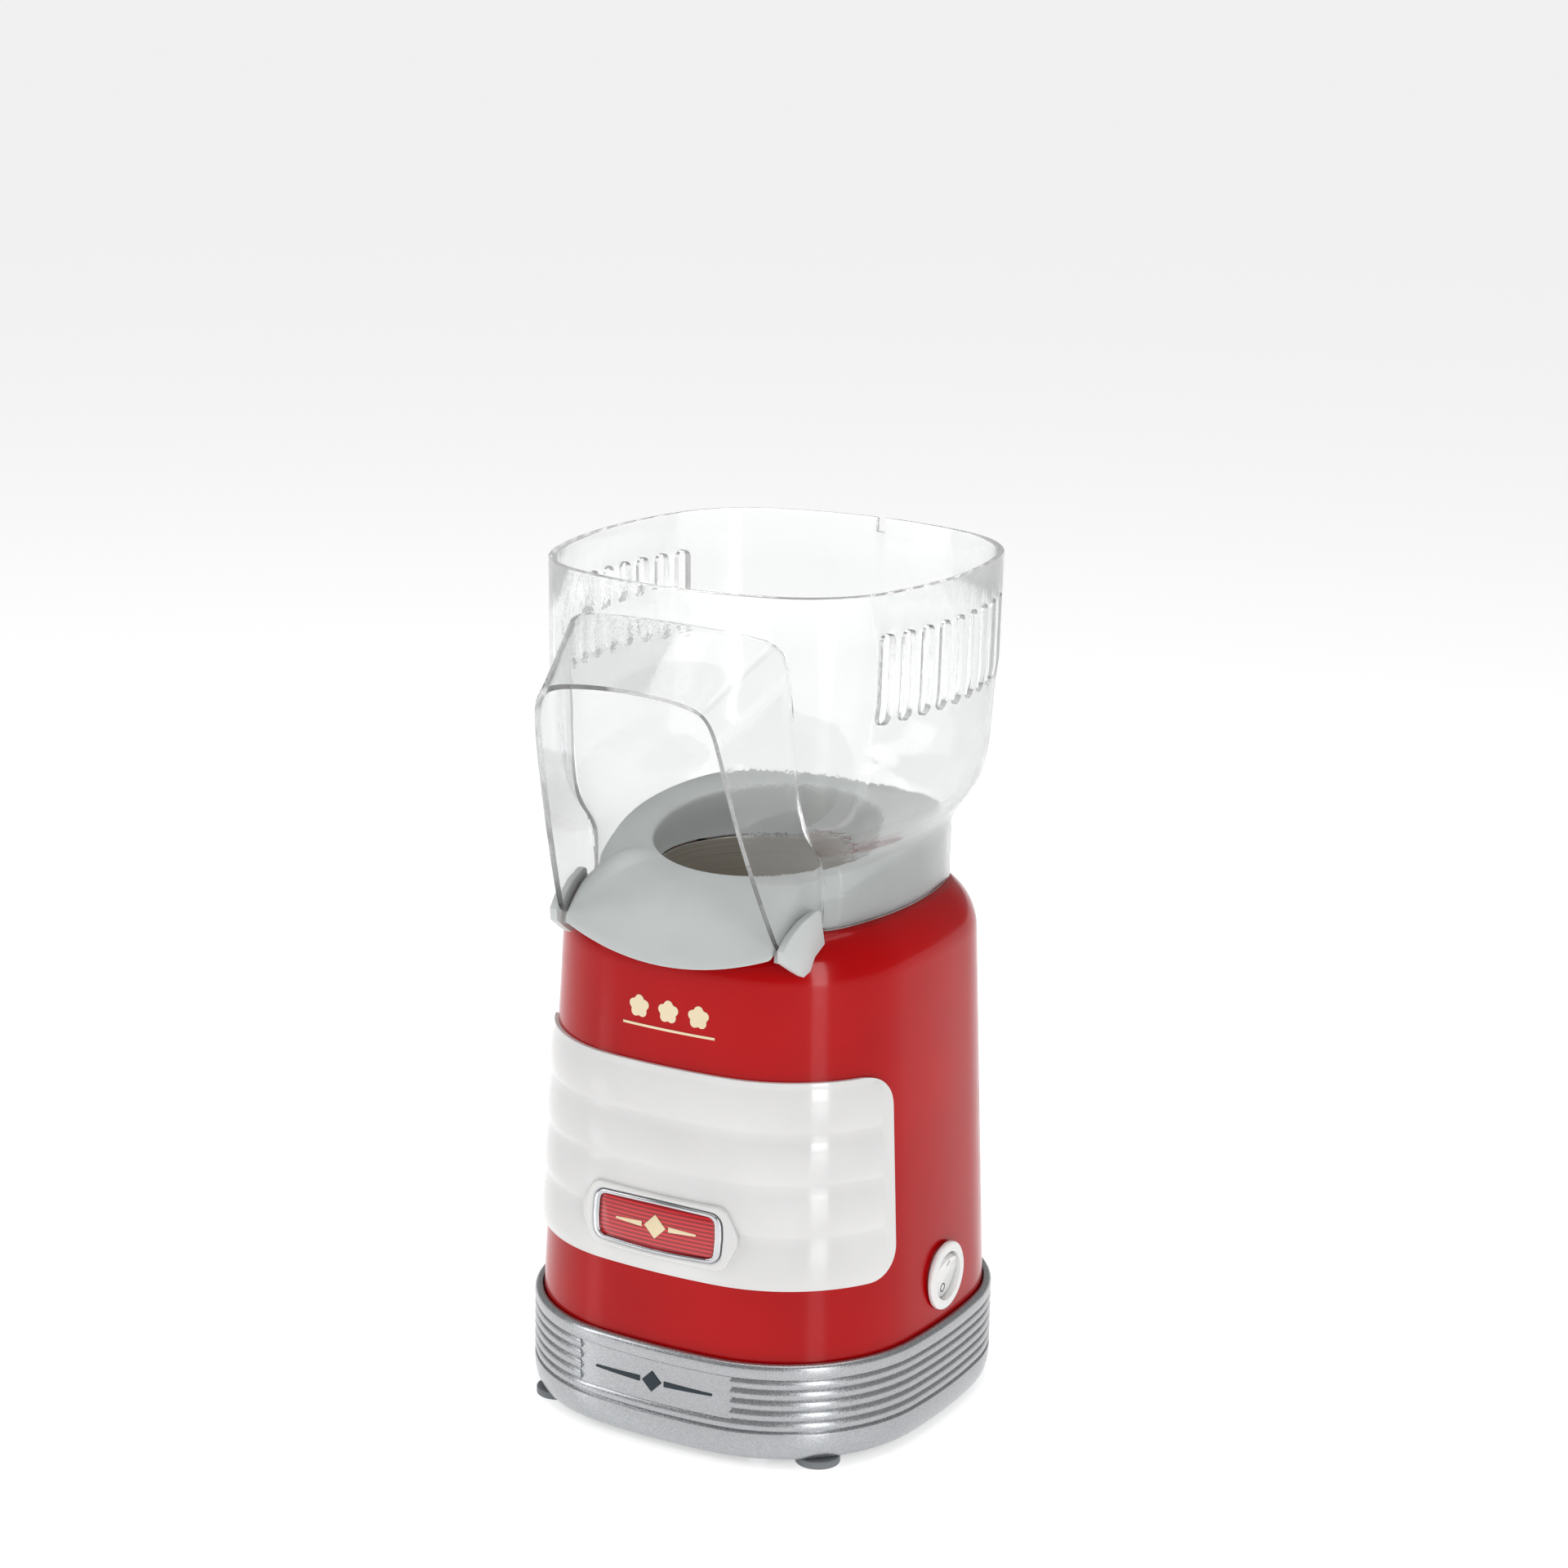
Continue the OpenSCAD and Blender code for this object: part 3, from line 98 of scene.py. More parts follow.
class Plan:
    """A rounded-square plan outline of eight tangent arcs: half sizes, corner radius and side bulge."""

    def __init__(self, half_w, half_d, corner, bulge):
        self.half_w, self.half_d, self.corner, self.bulge = half_w, half_d, corner, bulge
        self.cx = half_w - corner - bulge
        self.cy = half_d - corner - bulge
        self.rx = self.big(half_w, self.cx, self.cy)
        self.ry = self.big(half_d, self.cy, self.cx)
        self.ax = math.atan2(self.cy, self.cx - (half_w - self.rx))
        self.ay = math.atan2(self.cy - (half_d - self.ry), self.cx)

    def big(self, half, centre, other):
        r = self.corner
        return (r * r - other * other - (centre - half) ** 2) / (2 * (centre - half + r))

    def grown(self, d):
        return Plan(self.half_w + d, self.half_d + d, self.corner + d, self.bulge)

    def outline(self, n=16):
        """Points all round, anticlockwise from the +X side."""
        quarter = [self.point(i / n) for i in range(n + 1)]
        half = quarter + [(-x, y) for x, y in reversed(quarter[:-1])]
        return half + [(x, -y) for x, y in reversed(half[1:-1])]

    def point(self, t):
        """The outline's point at t from 0 (+X side) to 1 (+Y side)."""
        angle = t * math.pi / 2
        if angle <= self.ax:
            return (self.half_w - self.rx + self.rx * math.cos(angle), self.rx * math.sin(angle))
        if angle <= self.ay:
            return (self.cx + self.corner * math.cos(angle), self.cy + self.corner * math.sin(angle))
        return (self.ry * math.cos(angle), self.half_d - self.ry + self.ry * math.sin(angle))


BODY = Plan(HOUSING_HIGH[0], (HOUSING_HIGH[1] - HOUSING_LOW[1]) / 2, 0.0512, 0.00087)
HOOD = Plan(HOOD_HIGH[0], HOOD_HIGH[1] - AXIS_Y, 0.0397, 0.00389)


# ---- materials ----

def linear(hex_colour):
    """An sRGB hex colour as linear red, green, blue and alpha."""
    out = []
    for i in (1, 3, 5):
        c = int(hex_colour[i:i + 2], 16) / 255
        out.append(c / 12.92 if c <= 0.04045 else ((c + 0.055) / 1.055) ** 2.4)
    return (*out, 1.0)


def add(tree, kind, values=None, links=None, **settings):
    """Adds a shader node, sets its settings and socket values, and links its inputs."""
    n = tree.nodes.new(kind)
    for key, value in settings.items():
        setattr(n, key, value)
    for key, value in (values or {}).items():
        n.inputs[key].default_value = value
    for key, source in (links or {}).items():
        tree.links.new(source, n.inputs[key])
    return n


def finish(name, colour, roughness=0.4, **sockets):
    """A Principled material and its tree; sockets are Principled inputs, underscores for spaces."""
    mat = bpy.data.materials.new(name)
    mat.use_nodes = True
    tree = mat.node_tree
    shader = tree.nodes["Principled BSDF"]
    shader.inputs["Base Color"].default_value = linear(colour)
    shader.inputs["Roughness"].default_value = roughness
    for key, value in sockets.items():
        shader.inputs[key.replace("_", " ")].default_value = value
    mat.diffuse_color = linear(colour)
    return mat, tree, shader


def where(tree, stretch=(1, 1, 1)):
    """Object coordinates, stretched where a pattern has a grain."""
    coord = add(tree, "ShaderNodeTexCoord").outputs["Object"]
    return add(tree, "ShaderNodeMapping", {"Scale": stretch}, {"Vector": coord}).outputs["Vector"]


def speckle(tree, size_mm, detail=3, stretch=(1, 1, 1)):
    """Noise whose features are about size_mm across."""
    return add(tree, "ShaderNodeTexNoise", {"Scale": 1 / (size_mm * MM), "Detail": detail},
               {"Vector": where(tree, stretch)}).outputs["Fac"]


def spread(tree, shader, source, low, high):
    """Maps a 0 to 1 pattern to a range of roughness."""
    ramp = add(tree, "ShaderNodeMapRange", {"From Min": 0.3, "From Max": 0.7, "To Min": low, "To Max": high},
               {"Value": source})
    tree.links.new(ramp.outputs["Result"], shader.inputs["Roughness"])


def blend(tree, shader, factor, dark, light):
    """Mixes two colours by a 0 to 1 factor; sockets 6, 7 and output 2 are the mix node's colour ones."""
    mix = add(tree, "ShaderNodeMix", {6: linear(dark), 7: linear(light)}, {0: factor}, data_type="RGBA")
    tree.links.new(mix.outputs[2], shader.inputs["Base Color"])


def tint(tree, shader, source, dark, light, low=0.35, high=0.65):
    """Maps a range of a pattern to a mix of two colours."""
    ramp = add(tree, "ShaderNodeMapRange", {"From Min": low, "From Max": high}, {"Value": source})
    blend(tree, shader, ramp.outputs["Result"], dark, light)


def bump(tree, shader, source, height_mm, strength=1.0):
    b = add(tree, "ShaderNodeBump", {"Strength": strength, "Distance": height_mm * MM}, {"Height": source})
    tree.links.new(b.outputs["Normal"], shader.inputs["Normal"])


def cells(tree, size_mm):
    """Cells about size_mm across, each with a grey of its own."""
    flakes = add(tree, "ShaderNodeTexVoronoi", {"Scale": 1 / (size_mm * MM)}, {"Vector": where(tree)})
    return add(tree, "ShaderNodeSeparateColor", links={"Color": flakes.outputs["Color"]}).outputs[0]


def height(tree):
    return add(tree, "ShaderNodeSeparateXYZ", links={"Vector": where(tree)}).outputs["Z"]


def moulded(name, colour, dark, roughness, grain_mm, height_mm, **sockets):
    """Moulded plastic: close tones of one colour, uneven gloss and the tool's fine texture."""
    mat, tree, shader = finish(name, colour, roughness, **sockets)
    tint(tree, shader, speckle(tree, 30, 2), dark, colour)
    spread(tree, shader, speckle(tree, 9), roughness * 0.85, roughness * 1.2)
    bump(tree, shader, speckle(tree, grain_mm, 2), height_mm, 0.6)
    return mat


def metal(name, colour, dark, roughness, stretch, line_mm, height_mm=0.01):
    """Bare metal: the lines that brushing, drawing or turning left."""
    mat, tree, shader = finish(name, colour, roughness, Metallic=1.0)
    lines = speckle(tree, line_mm, 4, stretch)
    tint(tree, shader, lines, dark, colour)
    spread(tree, shader, lines, roughness * 0.8, roughness * 1.25)
    bump(tree, shader, lines, height_mm, 0.5)
    return mat


def red_abs():
    """ABS moulded in red against a polished tool: deep gloss under a clear lacquer, with the
    faint flow waves of a large moulding, which bend long reflections a little."""
    mat, tree, shader = finish("Lacquered_red_ABS", "#B6030A", 0.2, Coat_Weight=0.16, Coat_Roughness=0.04,
                               Specular_IOR_Level=0.26)
    tint(tree, shader, speckle(tree, 45, 2), "#B00209", "#BA040B")
    spread(tree, shader, speckle(tree, 12), 0.14, 0.22)
    bump(tree, shader, speckle(tree, 24, 1), 0.035, 0.35)
    return mat


def white_abs(name="Polished_white_ABS", colour="#E4E4E3", dark="#DDDDDC"):
    """White ABS from a polished tool: even tone, high gloss, slight flow waves."""
    mat, tree, shader = finish(name, colour, 0.16, Coat_Weight=0.35, Coat_Roughness=0.05, IOR=1.53,
                               Subsurface_Weight=0.08, Subsurface_Scale=0.002)
    tint(tree, shader, speckle(tree, 40, 2), dark, colour)
    spread(tree, shader, speckle(tree, 10), 0.1, 0.16)
    bump(tree, shader, speckle(tree, 18, 1), 0.02, 0.3)
    return mat


def chrome_abs():
    """ABS plated with bright chromium: a mirror with a trace of haze and slow waves."""
    mat, tree, shader = finish("Chrome_plated_ABS", "#C9CACC", 0.07, Metallic=1.0)
    tint(tree, shader, speckle(tree, 14, 2), "#BDBFC2", "#CFD0D2")
    spread(tree, shader, speckle(tree, 4), 0.05, 0.11)
    bump(tree, shader, speckle(tree, 9, 1), 0.004, 0.1)
    return mat


def striped_lens():
    """Red acrylic lens over a printed foil: thin darker lines 1.35 mm apart."""
    mat, tree, shader = finish("Striped_red_acrylic", "#D3202B", 0.12, Coat_Weight=1.0, Coat_Roughness=0.03)
    phase = add(tree, "ShaderNodeMath", {1: 2 * math.pi / (1.35 * MM)}, {0: height(tree)}, operation="MULTIPLY")
    wave = add(tree, "ShaderNodeMath", links={0: phase.outputs[0]}, operation="SINE")
    tint(tree, shader, wave.outputs[0], "#97101A", "#DB2631", -0.25, 0.45)
    spread(tree, shader, speckle(tree, 6), 0.09, 0.15)
    return mat


def silver_paint():
    """ABS sprayed with silver paint: aluminium flakes, drawn at 0.35 mm so that they show, in a
    satin clear binder with a light orange peel."""
    mat, tree, shader = finish("Silver_flake_paint", "#A9ACAE", 0.36, Metallic=0.82, Coat_Weight=0.25,
                               Coat_Roughness=0.22)
    grey = cells(tree, 0.35)
    blend(tree, shader, grey, "#A9ABAE", "#BABCBE")
    spread(tree, shader, grey, 0.24, 0.36)
    bump(tree, shader, speckle(tree, 0.7, 2), 0.02, 0.35)
    return mat


def clear_san():
    """Clear SAN moulding: crisp where it is polished, with a fine moulded texture inside that
    softens what lies behind it, and grey where light runs along the wall."""
    mat, tree, shader = finish("Clear_moulded_SAN", "#FFFFFF", 0.02, Transmission_Weight=1.0, IOR=1.45,
                               Alpha=0.85)
    edge = add(tree, "ShaderNodeLayerWeight", {"Blend": 0.25}).outputs["Facing"]
    tint(tree, shader, edge, "#FBFCFC", "#C6CDD2", 0.35, 0.95)
    spread(tree, shader, speckle(tree, 3.0, 2), 0.0, 0.05)
    bump(tree, shader, speckle(tree, 1.4, 1), 0.04, 0.4)
    return mat


def grey_pp():
    """Polypropylene moulded with a fine spark-eroded texture: soft satin light grey."""
    return moulded("Textured_grey_PP", "#CCD0CF", "#C6CAC9", 0.42, 0.6, 0.02, IOR=1.49)


def spun_aluminium():
    """Aluminium sheet spun to a cup: fine rings round the axis, warm from heat."""
    mat, tree, shader = finish("Spun_aluminium", "#D2CEC6", 0.42, Metallic=0.6)
    level = add(tree, "ShaderNodeCombineXYZ", links={"Z": height(tree)}).outputs[0]
    noise = add(tree, "ShaderNodeTexNoise", {"Scale": 1 / (0.8 * MM), "Detail": 3}, {"Vector": level})
    rings = noise.outputs["Fac"]
    tint(tree, shader, rings, "#C6C1B8", "#DAD6CE")
    spread(tree, shader, rings, 0.36, 0.52)
    bump(tree, shader, rings, 0.02, 0.4)
    return mat


def circuit_board():
    """Glass-epoxy board under green solder mask: satin, with the weave just showing."""
    mat, tree, shader = finish("FR4_board_green_mask", "#2C6A47", 0.3, Coat_Weight=0.3)
    weave = add(tree, "ShaderNodeTexBrick", {"Scale": 1 / (1.2 * MM), "Color1": linear("#2C6A47"),
                "Color2": linear("#316F4C"), "Mortar": linear("#265F40")}, {"Vector": where(tree)})
    tree.links.new(weave.outputs["Color"], shader.inputs["Base Color"])
    bump(tree, shader, weave.outputs["Fac"], 0.02, 0.4)
    return mat


def mica():
    """Pressed mica sheet: pearly layered flakes 4 mm across in a silicone binder."""
    mat, tree, shader = finish("Pressed_mica", "#C8BEA5", 0.35, Specular_IOR_Level=0.6)
    grey = cells(tree, 4)
    tint(tree, shader, grey, "#B9AD92", "#D6CDB8")
    spread(tree, shader, grey, 0.25, 0.5)
    return mat


def stage_white(name, colour, roughness):
    """Painted studio board: plain, very slightly uneven."""
    mat, tree, shader = finish(name, colour, roughness, IOR=1.45)
    spread(tree, shader, speckle(tree, 120, 2), roughness * 0.92, roughness * 1.08)
    shader.inputs["Emission Color"].default_value = (1, 1, 1, 1)
    shader.inputs["Emission Strength"].default_value = 0.45
    return mat


MATERIALS = {}


def make_materials():
    """One finish for each real material, under the record's slot names."""
    MATERIALS.update(
        red_shell=red_abs(),
        white_trim=white_abs(),
        switch_white=white_abs("White_switch_ABS", "#EFEFEE", "#EBEBEA"),
        chrome_trim=chrome_abs(),
        red_plate=striped_lens(),
        # Pad-printed cream ink: flat, slightly uneven cover, edge just proud of the shell.
        cream_print=moulded("Cream_printing_ink", "#F2E3C4", "#ECDBB8", 0.38, 0.5, 0.01),
        silver_base=silver_paint(),
        # Pad-printed blue-black ink on the silver band.
        dark_print=moulded("Blue_black_printing_ink", "#2B3A43", "#26343C", 0.35, 0.5, 0.01),
        # Black ABS with an eroded texture: matt, slightly grey where light grazes.
        black_plastic=moulded("Textured_black_ABS", "#26272A", "#1F2022", 0.5, 0.8, 0.04),
        # Thermoplastic rubber: dull and soft-looking, a little dusty.
        foot_rubber=moulded("Grey_TPE_rubber", "#8C8F92", "#7E8184", 0.62, 1.0, 0.05),
        clear_hood=clear_san(),
        grey_tray=grey_pp(),
        # Drawn steel rod and zinc-plated screws: fine lines along the length.
        steel=metal("Zinc_plated_steel", "#B4B6B8", "#9FA2A5", 0.3, (1, 1, 0.12), 0.4),
        chamber_metal=spun_aluminium(),
        # Galvanised sheet: rolled lines and a dull spangle.
        duct_steel=metal("Galvanised_sheet_steel", "#B2B6B9", "#9CA0A4", 0.38, (0.3, 0.3, 1), 1.4, 0.02),
        # Silicone sealing ring: translucent, matt.
        silicone=moulded("Silicone_rubber", "#DAD7D0", "#D0CDC5", 0.55, 1.2, 0.02, Subsurface_Weight=0.2,
                         Subsurface_Scale=0.002),
        mica=mica(),
        # Nickel-chromium wire after heating: dark brown oxide.
        heater_wire=metal("Oxidised_nickel_chromium", "#6E5F52", "#54483E", 0.5, (1, 1, 1), 0.5),
        # Stamped brass blades: warm, lightly tarnished.
        brass=metal("Stamped_brass", "#C9A553", "#B08C3F", 0.32, (1, 0.3, 1), 0.6),
        # Phenolic moulding: dark grey with paler filler specks.
        dark_housing=moulded("Phenolic_moulding", "#3E4044", "#34363A", 0.48, 0.9, 0.03),
        # Nylon fan: milky, softly glossy.
        fan_nylon=moulded("Natural_nylon", "#E2DFD6", "#D8D4C9", 0.36, 1.0, 0.02, Subsurface_Weight=0.15,
                         Subsurface_Scale=0.002),
        # Deep-drawn motor can: zinc plate with vertical draw lines.
        motor_steel=metal("Drawn_motor_steel", "#A3A6AA", "#8C9095", 0.33, (1, 1, 0.1), 0.7),
        # Sintered bronze bushing: dull, porous, oily brown.
        bronze=metal("Sintered_bronze", "#A9804B", "#8A6537", 0.46, (1, 1, 1), 0.4, 0.02),
        # Fired ferrite: near black, matt, slightly granular.
        ferrite=moulded("Sintered_ferrite", "#45464A", "#3A3B3F", 0.6, 0.6, 0.03),
        # Pressed carbon and graphite brush: black with a soft sheen.
        carbon=moulded("Pressed_carbon", "#3C3936", "#312F2C", 0.45, 0.4, 0.02),
        # Enamelled copper winding: turns 0.35 mm apart under clear varnish.
        copper=metal("Enamelled_copper", "#B5652F", "#8F4A1E", 0.28, (1, 1, 6), 2.1, 0.08),
        circuit_board=circuit_board(),
        # PVC insulation: smooth, slightly waxy.
        wire_blue=moulded("PVC_insulation_blue", "#2B4C8C", "#254480", 0.38, 0.8, 0.01),
        wire_brown=moulded("PVC_insulation_brown", "#74401F", "#683819", 0.38, 0.8, 0.01),
        wire_red=moulded("PVC_insulation_red", "#BC2E27", "#AC2822", 0.38, 0.8, 0.01),
    )


def material(slot):
    if not MATERIALS:
        make_materials()
    return MATERIALS[slot]


# ---- modelling helpers ----

def mode(name):
    if bpy.context.object and bpy.context.object.mode != name:
        bpy.ops.object.mode_set(mode=name)


def clear_selection():
    mode("OBJECT")
    bpy.ops.object.select_all(action="DESELECT")


def take(obj):
    """Makes one object the only one selected, and active."""
    clear_selection()
    obj.select_set(True)
    bpy.context.view_layer.objects.active = obj
    return obj


def named(name):
    obj = bpy.context.object
    obj.name = obj.data.name = name
    return obj


def edit(obj, select="SELECT"):
    take(obj)
    mode("EDIT")
    bpy.ops.mesh.select_all(action=select)


def settle(obj, shift=(0, 0, 0), turn=None):
    """Turns and moves an object and puts its place into its mesh."""
    take(obj)
    if turn:
        obj.rotation_euler = turn
    obj.location = Vector(obj.location) + Vector(shift)
    bpy.ops.object.transform_apply(location=True, rotation=True, scale=True)
    return obj


def outwards(obj, doubles=1e-6):
    edit(obj)
    bpy.ops.mesh.remove_doubles(threshold=doubles)
    bpy.ops.mesh.normals_make_consistent(inside=False)
    mode("OBJECT")
    return obj


def modify(obj, kind, **settings):
    """Adds a modifier and applies it."""
    take(obj)
    mod = obj.modifiers.new(kind.title(), kind)
    for key, value in settings.items():
        if key == "axes":
            for i in range(3):
                mod.use_axis[i] = value[i]
        else:
            setattr(mod, key, value)
    bpy.ops.object.modifier_apply(modifier=mod.name)
    return obj


def cut(obj, tool, operation="DIFFERENCE"):
    """A boolean with a tool that is used up."""
    modify(obj, "BOOLEAN", object=tool, operation=operation, solver="EXACT")
    bpy.data.objects.remove(tool, do_unlink=True)
    return obj


def face(obj, axis, sign):
    """Flips an open sheet whose faces look the wrong way along an axis."""
    if sign * sum(p.normal[axis] * p.area for p in obj.data.polygons) < 0:
        edit(obj)
        bpy.ops.mesh.flip_normals()
        mode("OBJECT")


def soften(obj, width, segments=2, angle=50):
    """Rounds the edges sharper than an angle."""
    return modify(obj, "BEVEL", width=width, segments=segments, limit_method="ANGLE",
                  angle_limit=math.radians(angle), harden_normals=False, use_clamp_overlap=True)


def chain(name, points, closed=False):
    """A chain of edges through the points: one vertex, extruded from point to point."""
    clear_selection()
    bpy.ops.mesh.primitive_plane_add(size=MM, location=points[0])
    obj = named(name)
    mode("EDIT")
    bpy.ops.mesh.select_mode(type="VERT")
    bpy.ops.mesh.select_all(action="SELECT")
    bpy.ops.mesh.merge(type="CENTER")
    ends = list(points) + ([points[0]] if closed else [])
    for a, b in zip(ends, ends[1:]):
        bpy.ops.mesh.extrude_region_move(TRANSFORM_OT_translate={"value": Vector(b) - Vector(a)})
    if closed:
        bpy.ops.mesh.select_all(action="SELECT")
        bpy.ops.mesh.remove_doubles(threshold=1e-7)
    return settle(obj)


def plate(name, points, normal, depth):
    """A closed outline filled and extruded along a direction: a prism."""
    obj = chain(name, points, closed=True)
    edit(obj)
    bpy.ops.mesh.edge_face_add()
    bpy.ops.mesh.extrude_region_move(TRANSFORM_OT_translate={"value": Vector(normal) * depth})
    return outwards(obj)


def loft(name, loops, closed=True):
    """Chains of equal length, joined side by side."""
    rows = []
    for i, loop in enumerate(loops):
        row = chain(f"{name}_{i}", loop, closed)
        row.vertex_groups.new(name=f"row{i}").add(range(len(row.data.vertices)), 1.0, "REPLACE")
        rows.append(row)
    obj = join(rows, name)
    mode("EDIT")
    for i in range(len(loops) - 1):
        bpy.ops.mesh.select_all(action="DESELECT")
        for k in (i, i + 1):
            obj.vertex_groups.active_index = obj.vertex_groups[f"row{k}"].index
            bpy.ops.object.vertex_group_select()
        bpy.ops.mesh.bridge_edge_loops()
    mode("OBJECT")
    obj.vertex_groups.clear()
    return outwards(obj)


def spin(angle, steps, centre):
    bpy.ops.mesh.spin(steps=steps, dupli=False, angle=-angle, center=centre, axis=(0, 0, 1))


def spun_wall(name, plan, profile, closed=True, steps=(5, 16, 8)):
    """A wall round the outline: its section, as distances outwards and heights, is spun about
    the centres of three arcs, and the quarter is mirrored twice."""
    obj = chain(name, [(plan.half_w + d, 0, z) for d, z in profile], closed)
    edit(obj)
    spin(plan.ax, steps[0], (plan.half_w - plan.rx, 0, 0))
    spin(plan.ay - plan.ax, steps[1], (plan.cx, plan.cy, 0))
    spin(math.pi / 2 - plan.ay, steps[2], (0, plan.half_d - plan.ry, 0))
    modify(obj, "MIRROR", axes=(True, True, False), merge_threshold=1e-5)
    outwards(obj)
    return settle(obj, (0, AXIS_Y, 0))


def lathe(name, profile, centre, steps=96):
    """A closed section, as radii and heights, spun once round a vertical axis."""
    obj = chain(name, [(r, 0, z) for r, z in profile], closed=True)
    edit(obj)
    spin(2 * math.pi, steps, (0, 0, 0))
    outwards(obj)
    return settle(obj, centre)


def mm(points):
    """Points given in millimetres, in metres."""
    return [tuple(c * MM for c in p) for p in points]


def arc(centre, radius, start, end, count):
    """Points on an arc, with angles in degrees."""
    out = []
    for i in range(count + 1):
        a = math.radians(start + (end - start) * i / count)
        out.append((centre[0] + radius * math.cos(a), centre[1] + radius * math.sin(a)))
    return out


def resample(points, step):
    """The closed outline with extra points, so that no edge is longer than step."""
    out = []
    for a, b in zip(points, points[1:] + points[:1]):
        n = max(1, math.ceil(math.dist(a, b) / step))
        out += [(a[0] + (b[0] - a[0]) * i / n, a[1] + (b[1] - a[1]) * i / n) for i in range(n)]
    return out


def skin_x(z, d=0.0):
    """Distance from the foot outline to the housing's drafted face at a height."""
    return d - DRAFT * (z - FOOT_Z)


def guide_skin(lift, low, high, straight=False):
    """A sheet that stands a little outside the housing, for trim to be laid on."""
    profile = [(lift if straight else skin_x(z, lift), z) for z in (low, high)]
    return spun_wall("guide", BODY, profile, closed=False, steps=(4, 20, 24))


def lay_on(obj, lift, thickness, low, high, straight=False, edge=0.0, segments=2):
    """Lays a flat piece on the skin, gives it thickness outwards and rounds its edges."""
    guide = guide_skin(lift, low, high, straight)
    modify(obj, "SHRINKWRAP", target=guide, wrap_method="PROJECT", use_project_y=True,
           use_positive_direction=True, use_negative_direction=True, use_project_x=False,
           use_project_z=False)
    bpy.data.objects.remove(guide, do_unlink=True)
    edit(obj)
    bpy.ops.mesh.normals_make_consistent(inside=False)
    mode("OBJECT")
    face(obj, 1, -1)
    modify(obj, "SOLIDIFY", thickness=thickness, offset=1.0, use_even_offset=True)
    if edge:
        soften(obj, edge, segments)
    return outwards(obj)


def flat_piece(name, outlines, step=2.2 * MM, strips=2.0 * MM):
    """Flat faces in the XZ plane in front of the housing, cut into narrow strips."""
    parts = []
    for i, points in enumerate(outlines):
        obj = chain(f"{name}_{i}", [(x, FRONT_Y, z) for x, z in resample(points, step)], closed=True)
        edit(obj)
        bpy.ops.mesh.edge_face_add()
        x = min(x for x, _ in points) + strips
        while x < max(x for x, _ in points) - strips / 2:
            bpy.ops.mesh.select_all(action="SELECT")
            bpy.ops.mesh.bisect(plane_co=(x, 0, 0), plane_no=(1, 0, 0))
            x += strips
        mode("OBJECT")
        parts.append(obj)
    return join(parts, name)


def join(parts, name):
    clear_selection()
    for part in parts:
        part.select_set(True)
    bpy.context.view_layer.objects.active = parts[0]
    if len(parts) > 1:
        bpy.ops.object.join()
    return named(name)


def copies(obj, places, name):
    """The piece and shifted copies of it, each with its own mesh, as one object."""
    parts = []
    for place in places:
        take(obj)
        bpy.ops.object.duplicate()
        parts.append(settle(bpy.context.object, place))
    bpy.data.objects.remove(obj, do_unlink=True)
    return join(parts, name)


def dress(obj, slot, body, *nodes, angle=40):
    """Smooth shading, material, body and the CAD nodes that a finished piece stands for."""
    if angle:
        take(obj)
        bpy.ops.object.shade_smooth_by_angle(angle=math.radians(angle))
    obj.data.materials.clear()
    obj.data.materials.append(material(slot))
    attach(obj, body)
    if nodes:
        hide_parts(*nodes)
    return obj


# ---- pieces ----

SHOULDER_INSET = DRAFT * (SHOULDER_Z - FOOT_Z) + SHOULDER_R
DECK_Z = SHOULDER_Z + math.sqrt(SHOULDER_R ** 2 - (SHOULDER_INSET - DECK_INSET) ** 2)


def housing_profile():
    """The housing's section: its drafted face, round shoulder, deck edge and the same again inside."""
    end = math.degrees(math.acos((SHOULDER_INSET - DECK_INSET) / SHOULDER_R))
    ledge = -DECK_INSET - 7.5 * MM
    rise = [(skin_x(z), z) for z in (FOOT_Z, 0.06, 0.09, 0.12, 0.145)]
    outer = rise + arc((-SHOULDER_INSET, SHOULDER_Z), SHOULDER_R, 3, end, 14)
    inner = arc((-SHOULDER_INSET, SHOULDER_Z), SHOULDER_R - WALL, end - 2, 0, 8)
    return outer + [(ledge, DECK_Z), (ledge, DECK_Z - WALL)] + inner + [(-WALL, FOOT_Z)]


def cylinder_tool(radius, depth, place, turn=(0, 0, 0), steps=64):
    clear_selection()
    bpy.ops.mesh.primitive_cylinder_add(vertices=steps, radius=radius, depth=depth, location=place,
                                        rotation=turn)
    return settle(named("tool"))


def block_tool(low, high):
    clear_selection()
    size = [h - l for l, h in zip(low, high)]
    bpy.ops.mesh.primitive_cube_add(size=1, location=[(l + h) / 2 for l, h in zip(low, high)])
    obj = named("tool")
    obj.scale = size
    return settle(obj)


def ramp_tool():
    """The space over the front of the shoulder that the chute tray's ramp takes."""
    side = [(-0.0475, DECK_Z + 0.003), (-0.0475, DECK_Z - 0.0012), (-0.062, 0.1663), (-0.080, 0.151),
            (-0.080, 0.190)]
    return plate("tool", [(-0.0466, AXIS_Y + y, z) for y, z in side], (1, 0, 0), 0.0932)


